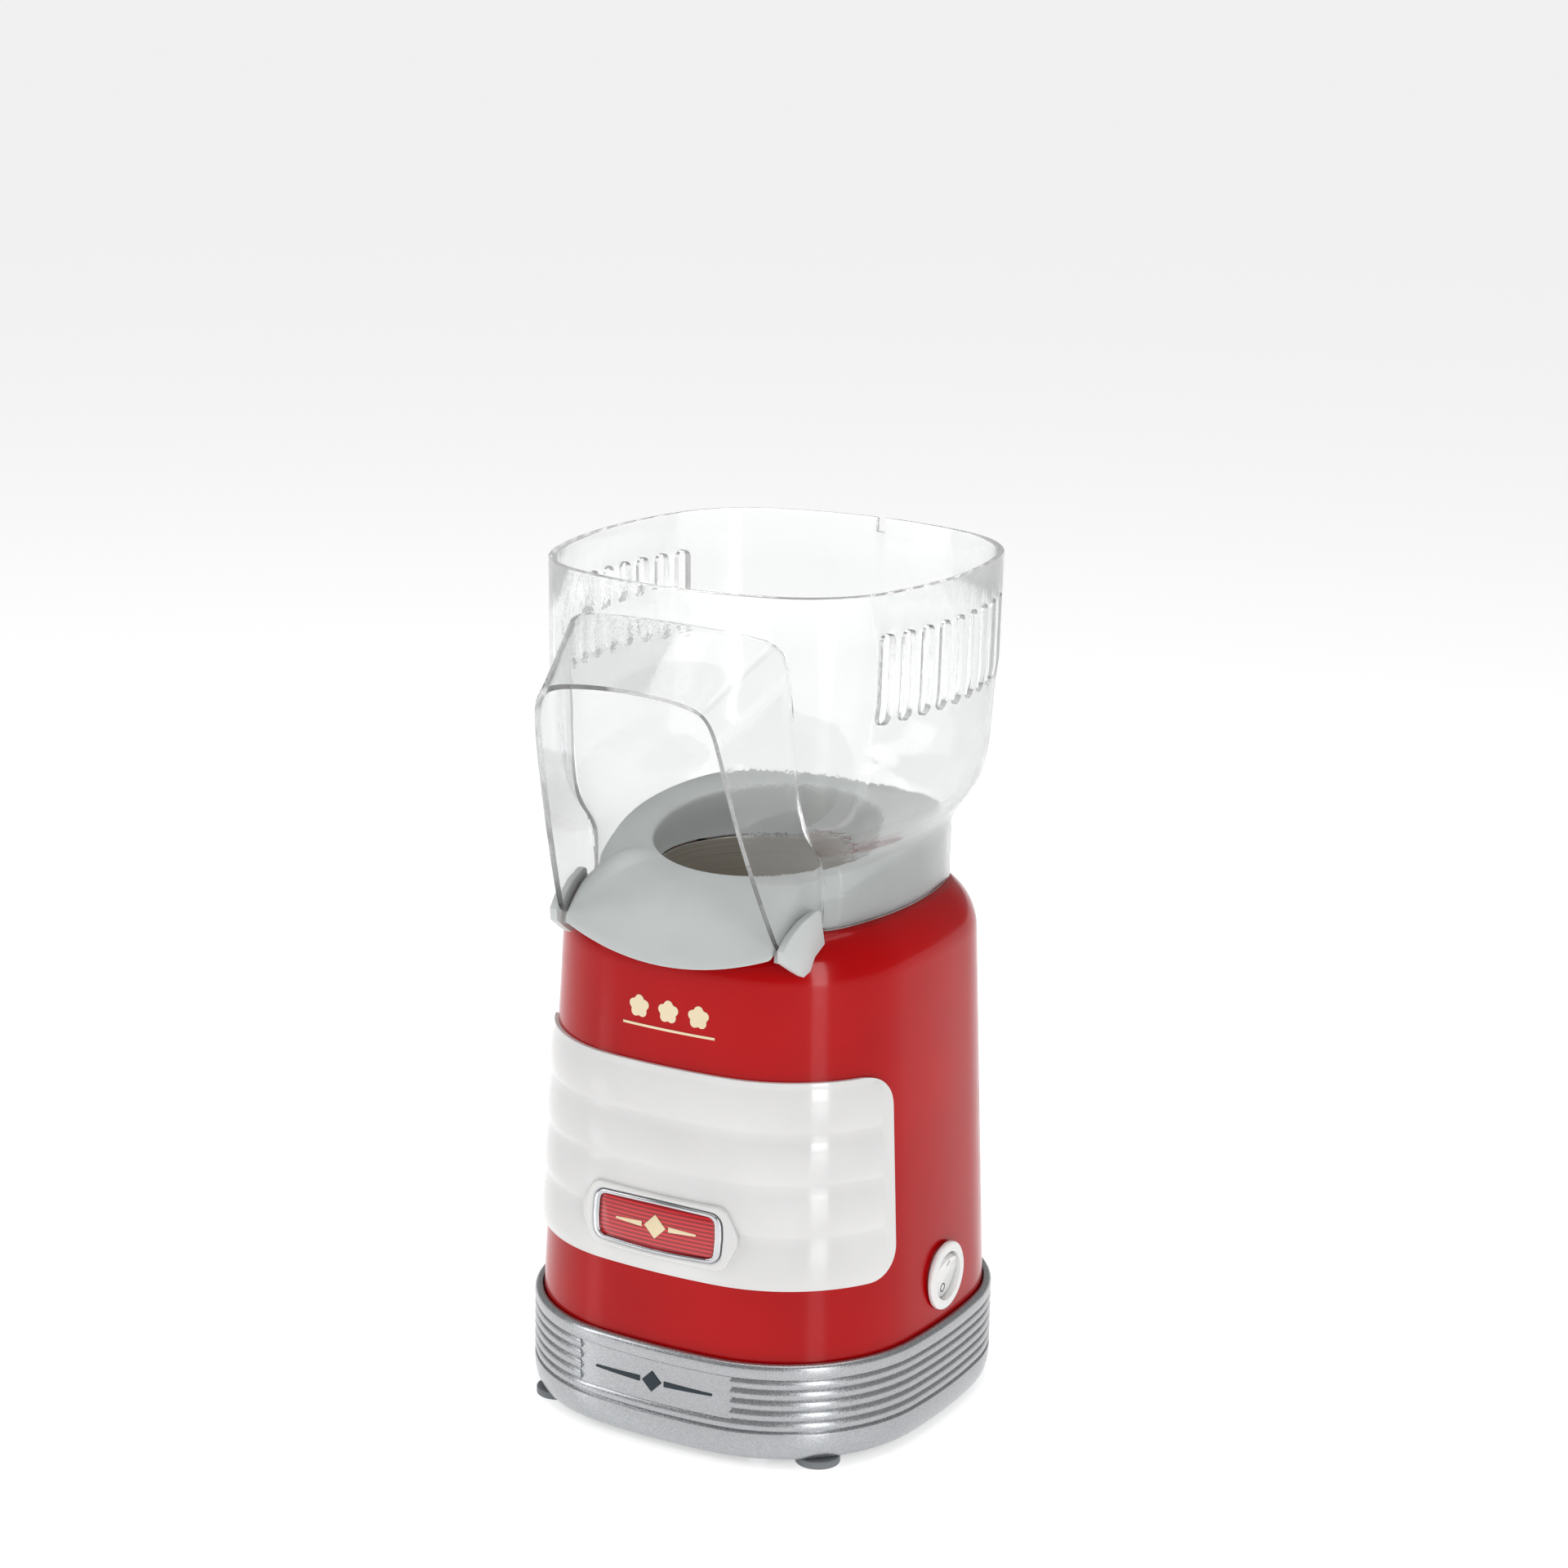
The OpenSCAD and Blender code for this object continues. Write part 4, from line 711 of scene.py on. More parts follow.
class POPCORN_OT_housing(bpy.types.Operator):
    """Spins the red housing and cuts its switch, cord and chute openings"""
    bl_idname = "popcorn.housing"
    bl_label = "Red housing"

    def execute(self, context):
        shell = spun_wall("housing_shell", BODY, housing_profile(), steps=(6, 22, 10))
        low = DECK_Z - WALL + 0.05 * MM
        ledge = [(x, AXIS_Y + y, low) for x, y in BODY.grown(-DECK_INSET - 6 * MM).outline()]
        cut(shell, plate("tool", ledge, (0, 0, 1), WALL - 0.1 * MM), "UNION")
        cut(shell, cylinder_tool(DECK_HOLE, 0.02, (0, CORE_Y, DECK_Z), steps=128))
        cut(shell, cylinder_tool(0.0101, 0.03, (SWITCH_X, AXIS_Y, SWITCH_Z), (0, math.pi / 2, 0)))
        gland = (0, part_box("cord_gland")[1][1] - 0.004, middle("cord_gland", 2))
        cut(shell, cylinder_tool(0.0067, 0.02, gland, (math.pi / 2, 0, 0)))
        cut(shell, ramp_tool())
        dress(shell, "red_shell", "base", "housing")
        return {"FINISHED"}


def panel_profile():
    sizes = bpy.context.scene.popcorn_sizes
    waves, n = 4, 12
    band = (PANEL_HIGH - PANEL_LOW) / waves
    trough, crest = 1.1 * MM, sizes.wave_crest
    outer = []
    for i in range(waves * n + 1):
        z = PANEL_LOW + i * band / n
        u = (i % n) / n
        outer.append((skin_x(z, trough + (crest - trough) * math.sin(math.pi * u ** 0.72) ** 0.85), z))
    return outer + [(skin_x(z, 0.02 * MM), z) for z in (PANEL_HIGH, PANEL_LOW)]


def border_profile():
    """The panel's flat border, which the waves die into before its side edges."""
    t = 1.35 * MM
    rows = [PANEL_LOW + (PANEL_HIGH - PANEL_LOW) * i / 12 for i in range(13)]
    return [(skin_x(z, t), z) for z in rows] + [(skin_x(z, 0.02 * MM), z) for z in reversed(rows[::12])]


def panel_window(back, gap):
    """The panel's side outline with rounded corners, as a block across the body."""
    r, h = 11 * MM - gap, PANEL_HIGH - PANEL_LOW
    edge = back - AXIS_Y - r
    window = [(-0.08, h), (-0.08, 0)]
    for start, low in ((-90, r), (0, h - r)):
        window += arc((edge, low), r, start, start + 90, 10)
    return plate("tool", [(-0.08, AXIS_Y + y, PANEL_LOW + z) for y, z in window], (1, 0, 0), 0.16)


class POPCORN_OT_panel(bpy.types.Operator):
    """Spins the white wave panel round the front and trims it to its rounded window"""
    bl_idname = "popcorn.panel"
    bl_label = "White wave panel"

    def execute(self, context):
        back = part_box("front_panel")[1][1]
        parts = []
        for name, profile, gap in (("wave_panel", panel_profile(), 5 * MM), ("border", border_profile(), 0)):
            part = spun_wall(name, BODY, profile, steps=(4, 22, 14))
            cut(part, panel_window(back - gap, gap), "INTERSECT")
            outwards(part)
            soften(part, 0.6 * MM, 3, 55)
            parts.append(part)
        panel = cut(parts[0], parts[1], "UNION")
        outwards(panel)
        dress(panel, "white_trim", "base", "front_panel")
        return {"FINISHED"}


def badge_outline(half, tall, tip, radius):
    """A wide outline whose ends come to a blunt point at mid height."""
    k = half - tip
    points = arc((k - radius, tall - radius), radius, 72, 22, 6)
    points += [(half, 1.6 * MM), (half, -1.6 * MM)]
    points += arc((k - radius, -tall + radius), radius, -22, -72, 6)
    points += arc((-k + radius, -tall + radius), radius, 252, 202, 6)
    points += [(-half, -1.6 * MM), (-half, 1.6 * MM)]
    points += arc((-k + radius, tall - radius), radius, 158, 108, 6)
    return [(x, BADGE_Z + z) for x, z in points]


def plaque(half, tall, radius):
    """A rounded rectangle whose four sides bow out a little."""
    bow = 0.45 * MM
    points = []
    middles = ((0, tall + bow), (-half - bow / 2, 0), (0, -tall - bow), (half + bow / 2, 0))
    for i, (cx, cz) in enumerate(((1, 1), (-1, 1), (-1, -1), (1, -1))):
        start, level = 8 + 90 * i, i % 2 == 0
        points += arc((cx * (half - radius), cz * (tall - radius)), radius, start, start + 74, 6)
        (x, z), (mx, mz) = points[-1], middles[i]
        points += [(x * 0.45 + mx * 0.55, z * 0.3 + mz * 0.7), (mx, mz)]
        points.append((mx - (x - mx) * 0.45 if level else mx * 0.7 + x * 0.3,
                       mz * 0.7 + z * 0.3 if level else mz - (z - mz) * 0.45))
    return [(x, BADGE_Z + z) for x, z in points]


def ring_piece(name, outer, inner, count=96):
    """A flat ring between two outlines, in front of the housing."""
    def even(points):
        lengths = [math.dist(a, b) for a, b in zip(points, points[1:] + points[:1])]
        total, out, i, run = sum(lengths), [], 0, 0.0
        for k in range(count):
            goal = total * k / count
            while run + lengths[i] < goal:
                run += lengths[i]
                i += 1
            a, b = points[i], points[(i + 1) % len(points)]
            f = (goal - run) / lengths[i]
            out.append((a[0] + (b[0] - a[0]) * f, FRONT_Y, a[1] + (b[1] - a[1]) * f))
        return out
    return loft(name, [even(outer), even(inner)])


class POPCORN_OT_badge(bpy.types.Operator):
    """Lays the badge's white surround, chrome ring, striped lens and plain motif on the panel"""
    bl_idname = "popcorn.badge"
    bl_label = "Badge"

    def execute(self, context):
        half, tall = 28.75 * MM, 10.95 * MM
        low, high = BADGE_Z - tall - 4 * MM, BADGE_Z + tall + 4 * MM
        base = 1.4 * MM
        outer = badge_outline(half, tall, 2.6 * MM, 5 * MM)
        mid = plaque(half - 5.2 * MM, tall - 2.6 * MM, 4.2 * MM)
        inner = plaque(half - 7.5 * MM, tall - 3.9 * MM, 2.6 * MM)
        surround = ring_piece("badge_surround", outer, mid)
        lay_on(surround, base, 2.1 * MM, low, high, edge=0.9 * MM, segments=4)
        dress(surround, "white_trim", "base", "badge_bezel", angle=50)
        ring = ring_piece("badge_chrome_ring", mid, inner)
        lay_on(ring, base, 2.6 * MM, low, high, edge=0.8 * MM, segments=4)
        dress(ring, "chrome_trim", "base", "badge_frame", angle=50)
        lens = flat_piece("badge_lens", [inner])
        lay_on(lens, base, 1.7 * MM, low, high, edge=0.25 * MM)
        dress(lens, "red_plate", "base", "badge_plate")
        motif = flat_piece("badge_motif", lozenge(15 * MM, 4 * MM, BADGE_Z))
        lay_on(motif, base + 1.72 * MM, 0.35 * MM, low, high, edge=0.1 * MM)
        dress(motif, "cream_print", "base", "badge_emblem")
        return {"FINISHED"}


def lozenge(reach, half, z):
    """A lozenge between two tapering bars."""
    shapes = [[(-half, z), (0, z + half), (half, z), (0, z - half)]]
    for s in (-1, 1):
        shapes.append([(s * (half + MM), z + 0.9 * MM), (s * reach, z + 0.35 * MM),
                       (s * reach, z - 0.35 * MM), (s * (half + MM), z - 0.9 * MM)])
    return shapes


class POPCORN_OT_prints(bpy.types.Operator):
    """Lays the cream puff ornament on the housing and the dark motif on the base band"""
    bl_idname = "popcorn.prints"
    bl_label = "Plain ornaments"

    def execute(self, context):
        z0 = 145.5 * MM
        shapes = []
        for i in (-1, 0, 1):
            cx, cz = i * 11 * MM, z0 + 1.2 * MM
            puff = []
            for a in range(0, 360, 8):
                r = (2.9 + 0.9 * abs(math.cos(math.radians(2.5 * (a - 90))))) * MM
                puff.append((cx + r * math.cos(math.radians(a)), cz + r * math.sin(math.radians(a))))
            shapes.append(puff)
        low, high, reach = z0 - 5.2 * MM, z0 - 4.4 * MM, 17 * MM
        shapes.append([(-reach, low), (reach, low), (reach, high), (-reach, high)])
        ornament = flat_piece("puff_print", shapes, step=1.2 * MM)
        lay_on(ornament, 0.04 * MM, 0.16 * MM, z0 - 0.01, z0 + 0.01)
        dress(ornament, "cream_print", "base", "front_ornament")
        z1 = middle("base_emblem", 2)
        motif = flat_piece("base_motif", lozenge(22 * MM, 3.6 * MM, z1))
        lay_on(motif, SWELL - 0.78 * MM, 0.22 * MM, z1 - 0.007, z1 + 0.007, straight=True)
        dress(motif, "dark_print", "base", "base_emblem")
        return {"FINISHED"}


def band_profile():
    """The base band's section: a rolled top, five beads and a rounded foot."""
    top = RING_HIGH[2]
    s = SWELL
    points = arc((s - 1.9 * MM, top - 2.0 * MM), 1.9 * MM, 110, 10, 8)
    points += [(s - 0.05 * MM, BEAD_TOP + 1.1 * MM), (s - 0.35 * MM, BEAD_TOP + 0.25 * MM),
               (s - 0.8 * MM, BEAD_TOP)]
    for i in range(BEADS):
        z = BEAD_TOP - (i + 0.5) * BEAD_PITCH
        for a in (62, 42, 20, 0, -20, -42, -62):
            c, q = math.cos(math.radians(a)), math.sin(math.radians(a))
            points.append((s - 0.75 * MM * (1 - c) / 0.53, z + 0.5 * BEAD_PITCH * q / 0.92))
        points.append((s - 0.8 * MM, z - BEAD_PITCH / 2))
    low = BEAD_TOP - BEADS * BEAD_PITCH
    points += [(s - 0.1 * MM, low - 0.6 * MM), (s, low - 1.4 * MM), (s - 0.05 * MM, low - 3.2 * MM)]
    points += [(s - 0.3 * MM, low - 5.6 * MM), (s - 0.9 * MM, low - 7.8 * MM), (s - 1.8 * MM, low - 9.4 * MM),
               (0.1 * MM, RING_LOW[2] + 0.3 * MM), (-0.9 * MM, RING_LOW[2])]
    return points + [(-2.5 * MM, RING_LOW[2]), (-2.5 * MM, FOOT_Z), (0.3 * MM, FOOT_Z),
                     (0.3 * MM, top - 0.6 * MM)]


class POPCORN_OT_base(bpy.types.Operator):
    """Spins the silver bead-ribbed band and adds the foot pads"""
    bl_idname = "popcorn.base"
    bl_label = "Base band and feet"

    def execute(self, context):
        band = spun_wall("base_band", BODY, band_profile(), steps=(6, 22, 12))
        z1, z0 = BEAD_TOP - 0.1 * MM, BEAD_TOP - 4 * BEAD_PITCH - 0.2 * MM
        sunk = SWELL - 0.85 * MM
        field = spun_wall("tool", BODY, [(sunk, z0), (0.006, z0), (0.006, z1), (sunk, z1)], steps=(4, 22, 12))
        half = 29 * MM
        right = []
        for i in range(4):
            right += [(half - 0.9 * MM * math.sin(math.radians(a)), BEAD_TOP - (i + a / 180) * BEAD_PITCH)
                      for a in range(0, 180, 20)]
        right.append((half, z0))
        outline = right + [(-x, z) for x, z in reversed(right)]
        window = plate("tool", [(x, AXIS_Y - 0.1, z) for x, z in outline], (0, 1, 0), 0.06)
        cut(field, window, "INTERSECT")
        cut(band, field)
        dress(band, "silver_base", "base", "base_ring", angle=38)
        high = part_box("feet")[1]
        r, t = 7.3 * MM, 2.55 * MM
        clear_selection()
        bpy.ops.mesh.primitive_cylinder_add(vertices=64, radius=r, depth=t, location=(0, 0, t / 2))
        pad = named("pad")
        edit(pad, "DESELECT")
        bpy.ops.mesh.select_mode(type="FACE")
        mode("OBJECT")
        for p in pad.data.polygons:
            p.select = p.normal.z < -0.9
        mode("EDIT")
        bpy.ops.mesh.inset(thickness=2.4 * MM, depth=0)
        bpy.ops.mesh.extrude_region_move(TRANSFORM_OT_translate={"value": (0, 0, 0.8 * MM)})
        mode("OBJECT")
        soften(pad, 0.5 * MM, 3, 40)
        settle(pad)
        x, y = high[0] - r, high[1] - AXIS_Y - r
        pads = copies(pad, [(sx * x, AXIS_Y + sy * y, 0) for sx in (-1, 1) for sy in (-1, 1)], "foot_pads")
        dress(pads, "foot_rubber", "base", "feet", angle=35)
        return {"FINISHED"}


# Inset of the hood's face from its rim outline, by height, in millimetres.
BOWL = [(0.1, 284), (0.3, 267), (0.5, 250), (1.2, 244), (1.8, 238), (2.15, 230), (2.6, 223), (3.3, 217.4),
        (4.8, 211.4), (6.1, 208.3), (7.8, 205.5), (9.7, 202.7), (11.5, 200.2), (13.0, 197.8), (13.9, 195.6),
        (14.3, 193.4)]


def hood_profile():
    top = HOOD_HIGH[2]
    w = HOOD_WALL
    low = DECK_Z + 0.4 * MM
    outer = [(-d * MM, z * MM) for d, z in BOWL]
    inner = []
    for i, (d, z) in enumerate(BOWL):
        before = BOWL[max(i - 1, 0)]
        after = BOWL[min(i + 1, len(BOWL) - 1)]
        slope = Vector((after[0] - before[0], before[1] - after[1])).normalized()
        inner.append((-d * MM - w * slope.y, z * MM + w * slope.x))
    rim = arc((-w / 2, top - w / 2), w / 2, 150, 30, 4)
    skirt = [(-SKIRT_INSET, 0.190), (-SKIRT_INSET, low), (-SKIRT_INSET - w, low), (-SKIRT_INSET - w, 0.190)]
    return rim + outer + skirt + list(reversed(inner))


# The canopy's two edges from its foot to its middle, in millimetres about the body's axis: the open
# mouth, and the root where it meets the hood.
MOUTH = [(40.9, -64.2, 172.6), (40.1, -67.8, 180), (38.1, -74.7, 196), (37, -78.4, 205.5), (35.8, -82.4, 216),
         (34.4, -87.5, 232), (33.2, -90.8, 244), (31.6, -92.3, 250), (28.8, -93.1, 253.6), (24.4, -93.5, 255.5),
         (16, -93.8, 256.8), (8, -94, 257.4), (0, -94, 257.6)]
ROOT = [(43.4, -40.7, 175.3), (43.4, -40.7, 186), (43.6, -44.9, 200), (43.6, -51.2, 207), (42.6, -56.6, 218),
        (42.2, -58.4, 236), (41.8, -60.1, 253), (41.2, -60.7, 262), (39.9, -61.3, 268), (36.8, -62.6, 271.6),
        (26, -65.9, 274), (13, -68.2, 275), (0, -68.9, 275.2)]


def arch(points):
    right = [(x * MM, AXIS_Y + y * MM, z * MM) for x, y, z in points]
    return right + [(-x, y, z) for x, y, z in reversed(right[:-1])]


def between(a, b, t):
    return [tuple(Vector(p).lerp(Vector(q), t)) for p, q in zip(a, b)]


class POPCORN_OT_hood(bpy.types.Operator):
    """Spins the clear hood, cuts its slots and notch, and joins the chute's canopy to it"""
    bl_idname = "popcorn.hood"
    bl_label = "Clear hood"

    def execute(self, context):
        sizes = context.scene.popcorn_sizes
        bowl = spun_wall("hood_clear", HOOD, hood_profile(), steps=(8, 18, 10))
        half = [(41.3, 160), (41.3, 196), (41.5, 201), (41.4, 207), (40.4, 218), (39.9, 253), (39, 262),
                (37.4, 267), (33.4, 270.3), (24, 272.2), (12, 272.9), (0, 273)]
        opening = [(x * MM, AXIS_Y, z * MM) for x, z in half]
        opening += [(-x, y, z) for x, y, z in reversed(opening[:-1])]
        cut(bowl, plate("tool", opening, (0, -1, 0), 0.09))
        w, h, n = sizes.slot_width, sizes.slot_height, sizes.slot_count
        slots = []
        for i in range(n):
            y = AXIS_Y + 0.6 * MM + (i - (n - 1) / 2) * sizes.slot_pitch
            pts = arc((y, SLOT_LOW + w / 2), w / 2, 180, 360, 9)
            pts += arc((y, SLOT_LOW + h - w / 2), w / 2, 0, 180, 9)
            slots.append(plate(f"slot_{i}", [(-0.08, a, b) for a, b in pts], (1, 0, 0), 0.16))
        cut(bowl, join(slots, "tool"))
        notch, top = 1.5 * MM, HOOD_HIGH[2]
        cut(bowl, block_tool((-notch, AXIS_Y + 0.04, top - 0.005), (notch, AXIS_Y + 0.1, top + 0.01)))
        start, end = arch(ROOT), arch(MOUTH)
        canopy = loft("canopy", [between(start, end, t) for t in (0, 0.2, 0.4, 0.6, 0.8, 1)], closed=False)
        modify(canopy, "SUBSURF", levels=2, render_levels=2)
        face(canopy, 2, 1)
        modify(canopy, "SOLIDIFY", thickness=HOOD_WALL, offset=-1.0, use_even_offset=True)
        outwards(canopy)
        cut(bowl, canopy, "UNION")
        outwards(bowl)
        dress(bowl, "clear_hood", "hood", "hood")
        return {"FINISHED"}


# Height of the tray's edge by its Y from the body's axis, in millimetres.
EDGE_Z = [(-70, 164.6), (-69, 164.6), (-65.4, 173), (-63.5, 174.6), (-60, 177.6), (-55.5, 180.6), (-48, 182.6),
          (-42, 182.4), (-30, 186.6), (-10, 193), (20, 196.5), (60, 197.5)]


def table(rows, x):
    """Reads a value between the rows of a table."""
    if x <= rows[0][0]:
        return rows[0][1]
    for (a, va), (b, vb) in zip(rows, rows[1:]):
        if x <= b:
            return va + (vb - va) * (x - a) / (b - a)
    return rows[-1][1]


HOLE_R, HOLE_Z, HOLE_TILT = 37.5 * MM, 193.5 * MM, math.radians(9)
TRAY_WALL = 2 * MM
CHEEK_SLOPE = 0.12


def tray_rim():
    """The tray's edge in plan about the body's axis, anticlockwise from the right front."""
    plan = HOOD.grown(-(SKIRT_INSET + HOOD_WALL + 0.4 * MM))
    out = []
    quarter = [plan.point(t / 14) for t in range(15)]
    right = [(x, -y) for x, y in reversed(quarter[1:]) if -y > -0.0395 and not (y > 0.030 and x < 0.0405)]
    out += right + quarter[:-1] + [(0, plan.half_d)]
    out += [(-x, y) for x, y in reversed(quarter[:-1])] + [(-x, y) for x, y in reversed(right)]
    gap = HOOD_WALL + 0.5 * MM
    cheek = [(43.4 * MM + CHEEK_SLOPE * (0.041 + y) - gap, y)
             for y in (-0.0402, -0.045, -0.050, -0.055, -0.060, -0.0635)]
    out += [(-x, y) for x, y in cheek]
    lip = (-38.3, -36.5, -33.5, -29, -23, -16, -8, 0, 8, 16, 23, 29, 33.5, 36.5, 38.3)
    out += [(x * MM, (-69 + 3.6 * (x / 40) ** 2) * MM) for x in lip]
    return out + list(reversed(cheek))


def tray_point(p, u, rise):
    """A point of the tray's top between the hole's edge and the rim."""
    core = Vector((0, CORE_Y - AXIS_Y))
    d = Vector(p) - core
    unit = d.normalized()
    a = core + unit * (HOLE_R + 1.2 * MM)
    za = HOLE_Z + unit.y * (HOLE_R + 1.2 * MM) * math.tan(HOLE_TILT)
    zb = table(EDGE_Z, p[1] / MM) * MM
    front = max(0.0, min(1.0, (-p[1] - 0.036) / 0.014))
    lift = (1.2 + 3.0 * front) * MM * math.sin(math.pi * u) if rise else 0
    q = a.lerp(Vector(p), u)
    return (q.x, AXIS_Y + q.y, za + (zb - za) * u + lift)


def hole_ring(rim, radius, z=None, sink=0.0):
    """Points round the tray's hole, level at z or on the hole's tilted plane."""
    out = []
    core = Vector((0, CORE_Y - AXIS_Y))
    for p in rim:
        unit = (Vector(p) - core).normalized()
        q = core + unit * radius
        out.append((q.x, AXIS_Y + q.y, z if z else HOLE_Z - sink + unit.y * radius * math.tan(HOLE_TILT)))
    return out


# Side view of a cheek: Y from the body's axis and height, in millimetres.
CHEEK = [(-66.5, 170.6), (-67, 174.6), (-63.6, 178.2), (-57.4, 181.8), (-49.5, 184.1), (-47.8, 183),
         (-45.3, 172.3), (-50.3, 169.2), (-52.7, 165), (-56, 163.9), (-59.9, 166.2)]
# The cheek's pivot block and tab: low and high corners, in millimetres.
CHEEK_BLOCKS = (((-5.2, -61.5, 168.4), (1.0, -57.0, 172.3)), ((-5.2, -61.4, 168.6), (-2.9, -57.6, 176.3)))


class POPCORN_OT_tray(bpy.types.Operator):
    """Lofts the grey chute tray from its hole to its rim and adds the two cheeks"""
    bl_idname = "popcorn.tray"
    bl_label = "Grey chute tray"

    def execute(self, context):
        rim = tray_rim()
        rows = [hole_ring(rim, 36.2 * MM, 0.1813), hole_ring(rim, 36.8 * MM, 0.1835),
                hole_ring(rim, HOLE_R - 0.2 * MM, None, 3.2 * MM), hole_ring(rim, HOLE_R, None, 1.3 * MM),
                hole_ring(rim, HOLE_R + 0.4 * MM, None, 0.4 * MM)]
        rows += [[tray_point(p, u, True) for p in rim] for u in (0, 0.12, 0.3, 0.5, 0.7, 0.86, 0.97)]
        last = [tray_point(p, 1, False) for p in rim]
        rows.append([(x, y, z - 0.35 * MM) for x, y, z in last])
        rows.append([(x, y, z - 1.4 * MM if y - AXIS_Y < -0.044 else DECK_Z + 0.4 * MM) for x, y, z in last])
        tray = loft("chute_tray_grey", rows)
        face(tray, 2, 1)
        modify(tray, "SUBSURF", levels=1, render_levels=1)
        modify(tray, "SOLIDIFY", thickness=TRAY_WALL * 0.9, offset=-1.0)
        outwards(tray)
        cheek = plate("cheek", [(0, y * MM, z * MM) for y, z in CHEEK], (1, 0, 0), 2.4 * MM)
        for corners in CHEEK_BLOCKS:
            cut(cheek, block_tool(*mm(corners)), "UNION")
        soften(cheek, 0.5 * MM, 2, 40)
        cheek.matrix_world = (Matrix.Translation(((43.4 + CHEEK_SLOPE * 41 + 0.35) * MM, 0, 0))
                              @ Matrix.Rotation(-math.atan(CHEEK_SLOPE), 4, "Z"))
        settle(cheek)
        modify(cheek, "MIRROR", axes=(True, False, False), use_mirror_merge=False)
        settle(cheek, (0, AXIS_Y, 0))
        tray = join([tray, outwards(cheek)], "chute_tray_grey")
        dress(tray, "grey_tray", "tray", "chute_tray", angle=45)
        return {"FINISHED"}


class POPCORN_OT_switch(bpy.types.Operator):
    """Builds the round switch surround and its rocker with plain on and off marks"""
    bl_idname = "popcorn.switch"
    bl_label = "Rocker switch"

    def execute(self, context):
        low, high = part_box("rocker")
        half = (high[1] - low[1]) / 2
        ball = 7.8 * MM
        section = [(0.0001, 0.65), (11.5, 0.65), (11.5, 1.3), (11.35, 1.7), (10.9, 2.0), (10.2, 2.1),
                   (0.0001, 2.1)]
        flange = chain("switch_surround", mm((r, 0, z) for r, z in section), closed=True)
        edit(flange)
        spin(2 * math.pi, 96, (0, 0, 0))
        outwards(flange, 2e-6)
        cut(flange, cylinder_tool(10 * MM, 9.9 * MM, (0, 0, -4.05 * MM), steps=96), "UNION")
        cut(flange, cylinder_tool(8.2 * MM, 30 * MM, (0, 0, 0), steps=96))
        soften(flange, 0.3 * MM, 3, 50)
        settle(flange, (SWITCH_X, AXIS_Y, SWITCH_Z), (0, math.pi / 2, 0))
        dress(flange, "switch_white", "base", "switch_bezel", angle=35)
        # Side view of the key from its pin: out from the face, and up.
        r, t, a = 8.1 * MM, math.radians(12), math.radians(22)
        tip = (r * math.sin(a + t), r * math.cos(a + t))
        side = [tip, *mm([(2.65, 2.6), (2.3, 0.3), (1.75, -2.4)]), (r * math.sin(a - t), -r * math.cos(a - t)),
                *mm([(-1.4, -7.35), (-2.4, -3.2), (-5.2, -1.9), (-5.4, 0.6), (-2.6, 2.4), (0.3, 7.2)])]
        key = plate("rocker_key", [(x, -half, z) for x, z in side], (0, 1, 0), 2 * half)
        clear_selection()
        bpy.ops.mesh.primitive_uv_sphere_add(segments=96, ring_count=48, radius=ball)
        cut(key, named("tool"), "INTERSECT")
        outwards(key)
        soften(key, 0.3 * MM, 3, 32)
        pivot = (SWITCH_X - ROCKER_PIN_IN, AXIS_Y, SWITCH_Z)
        settle(key, pivot)
        dress(key, "switch_white", "rocker", "rocker", angle=35)
        slope = math.atan2(tip[0] - 2.65 * MM, tip[1] - 2.6 * MM)
        bar = block_tool((-0.12 * MM, -0.24 * MM, -1.3 * MM), (0.06 * MM, 0.24 * MM, 1.3 * MM))
        settle(bar, (pivot[0] + 3.43 * MM, AXIS_Y, pivot[2] + 4.3 * MM), (0, slope, 0))
        ring = lathe("ring", mm([(1.15, -0.06), (1.55, -0.06), (1.55, 0.06), (1.15, 0.06)]), (0, 0, 0), 48)
        settle(ring, (pivot[0] + 1.6 * MM, AXIS_Y, pivot[2] - 4.6 * MM), (0, math.pi / 2 + math.radians(3.5), 0))
        marks = join([bar, ring], "rocker_marks")
        dress(marks, "dark_print", "rocker", angle=None)
        return {"FINISHED"}


class POPCORN_OT_chamber(bpy.types.Operator):
    """Spins the metal popping chamber and cuts its slanted swirl vents"""
    bl_idname = "popcorn.chamber"
    bl_label = "Popping chamber"

    def execute(self, context):
        low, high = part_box("popping_chamber")
        r, s, flange, floor, top = 36.0, 0.8, high[0] / MM, low[2] / MM, high[2] / MM
        f = DECK_Z / MM + 1
        section = [(0.001, floor), (r - 6, floor)]
        section += arc((r - 6, floor + 6 + s), 6 + s, -90, 0, 8)[1:]
        section += [(r + s, f), (flange, f), (flange, f + s), (r + s, f + s), (r + s, top - 0.2),
                    (r + s - 0.2, top), (r + 0.2, top), (r, top - 0.2)]
        section += arc((r - 6, floor + 6 + s), 6, 0, -90, 8)
        section += [(9, floor + s), (6, floor + s + 1.6), (3, floor + s + 3.4), (0.001, floor + s + 4)]
        cup = lathe("chamber_cup", mm(section), (0, CORE_Y, 0), 112)
        outwards(cup, 3e-6)
        vents = []
        for i in range(20):
            vent = block_tool(((r - 4) * MM, -0.7 * MM, 0), ((r + 6) * MM, 0.7 * MM, 9 * MM))
            settle(vent, (0, 0, (floor + 7.4) * MM), (math.radians(28), 0, 0))
            vents.append(settle(vent, turn=(0, 0, math.radians(i * 18))))
        tool = join(vents, "tool")
        settle(tool, (0, CORE_Y, 0))
        cut(cup, tool)
        dress(cup, "chamber_metal", "base", "popping_chamber", angle=35)
        return {"FINISHED"}


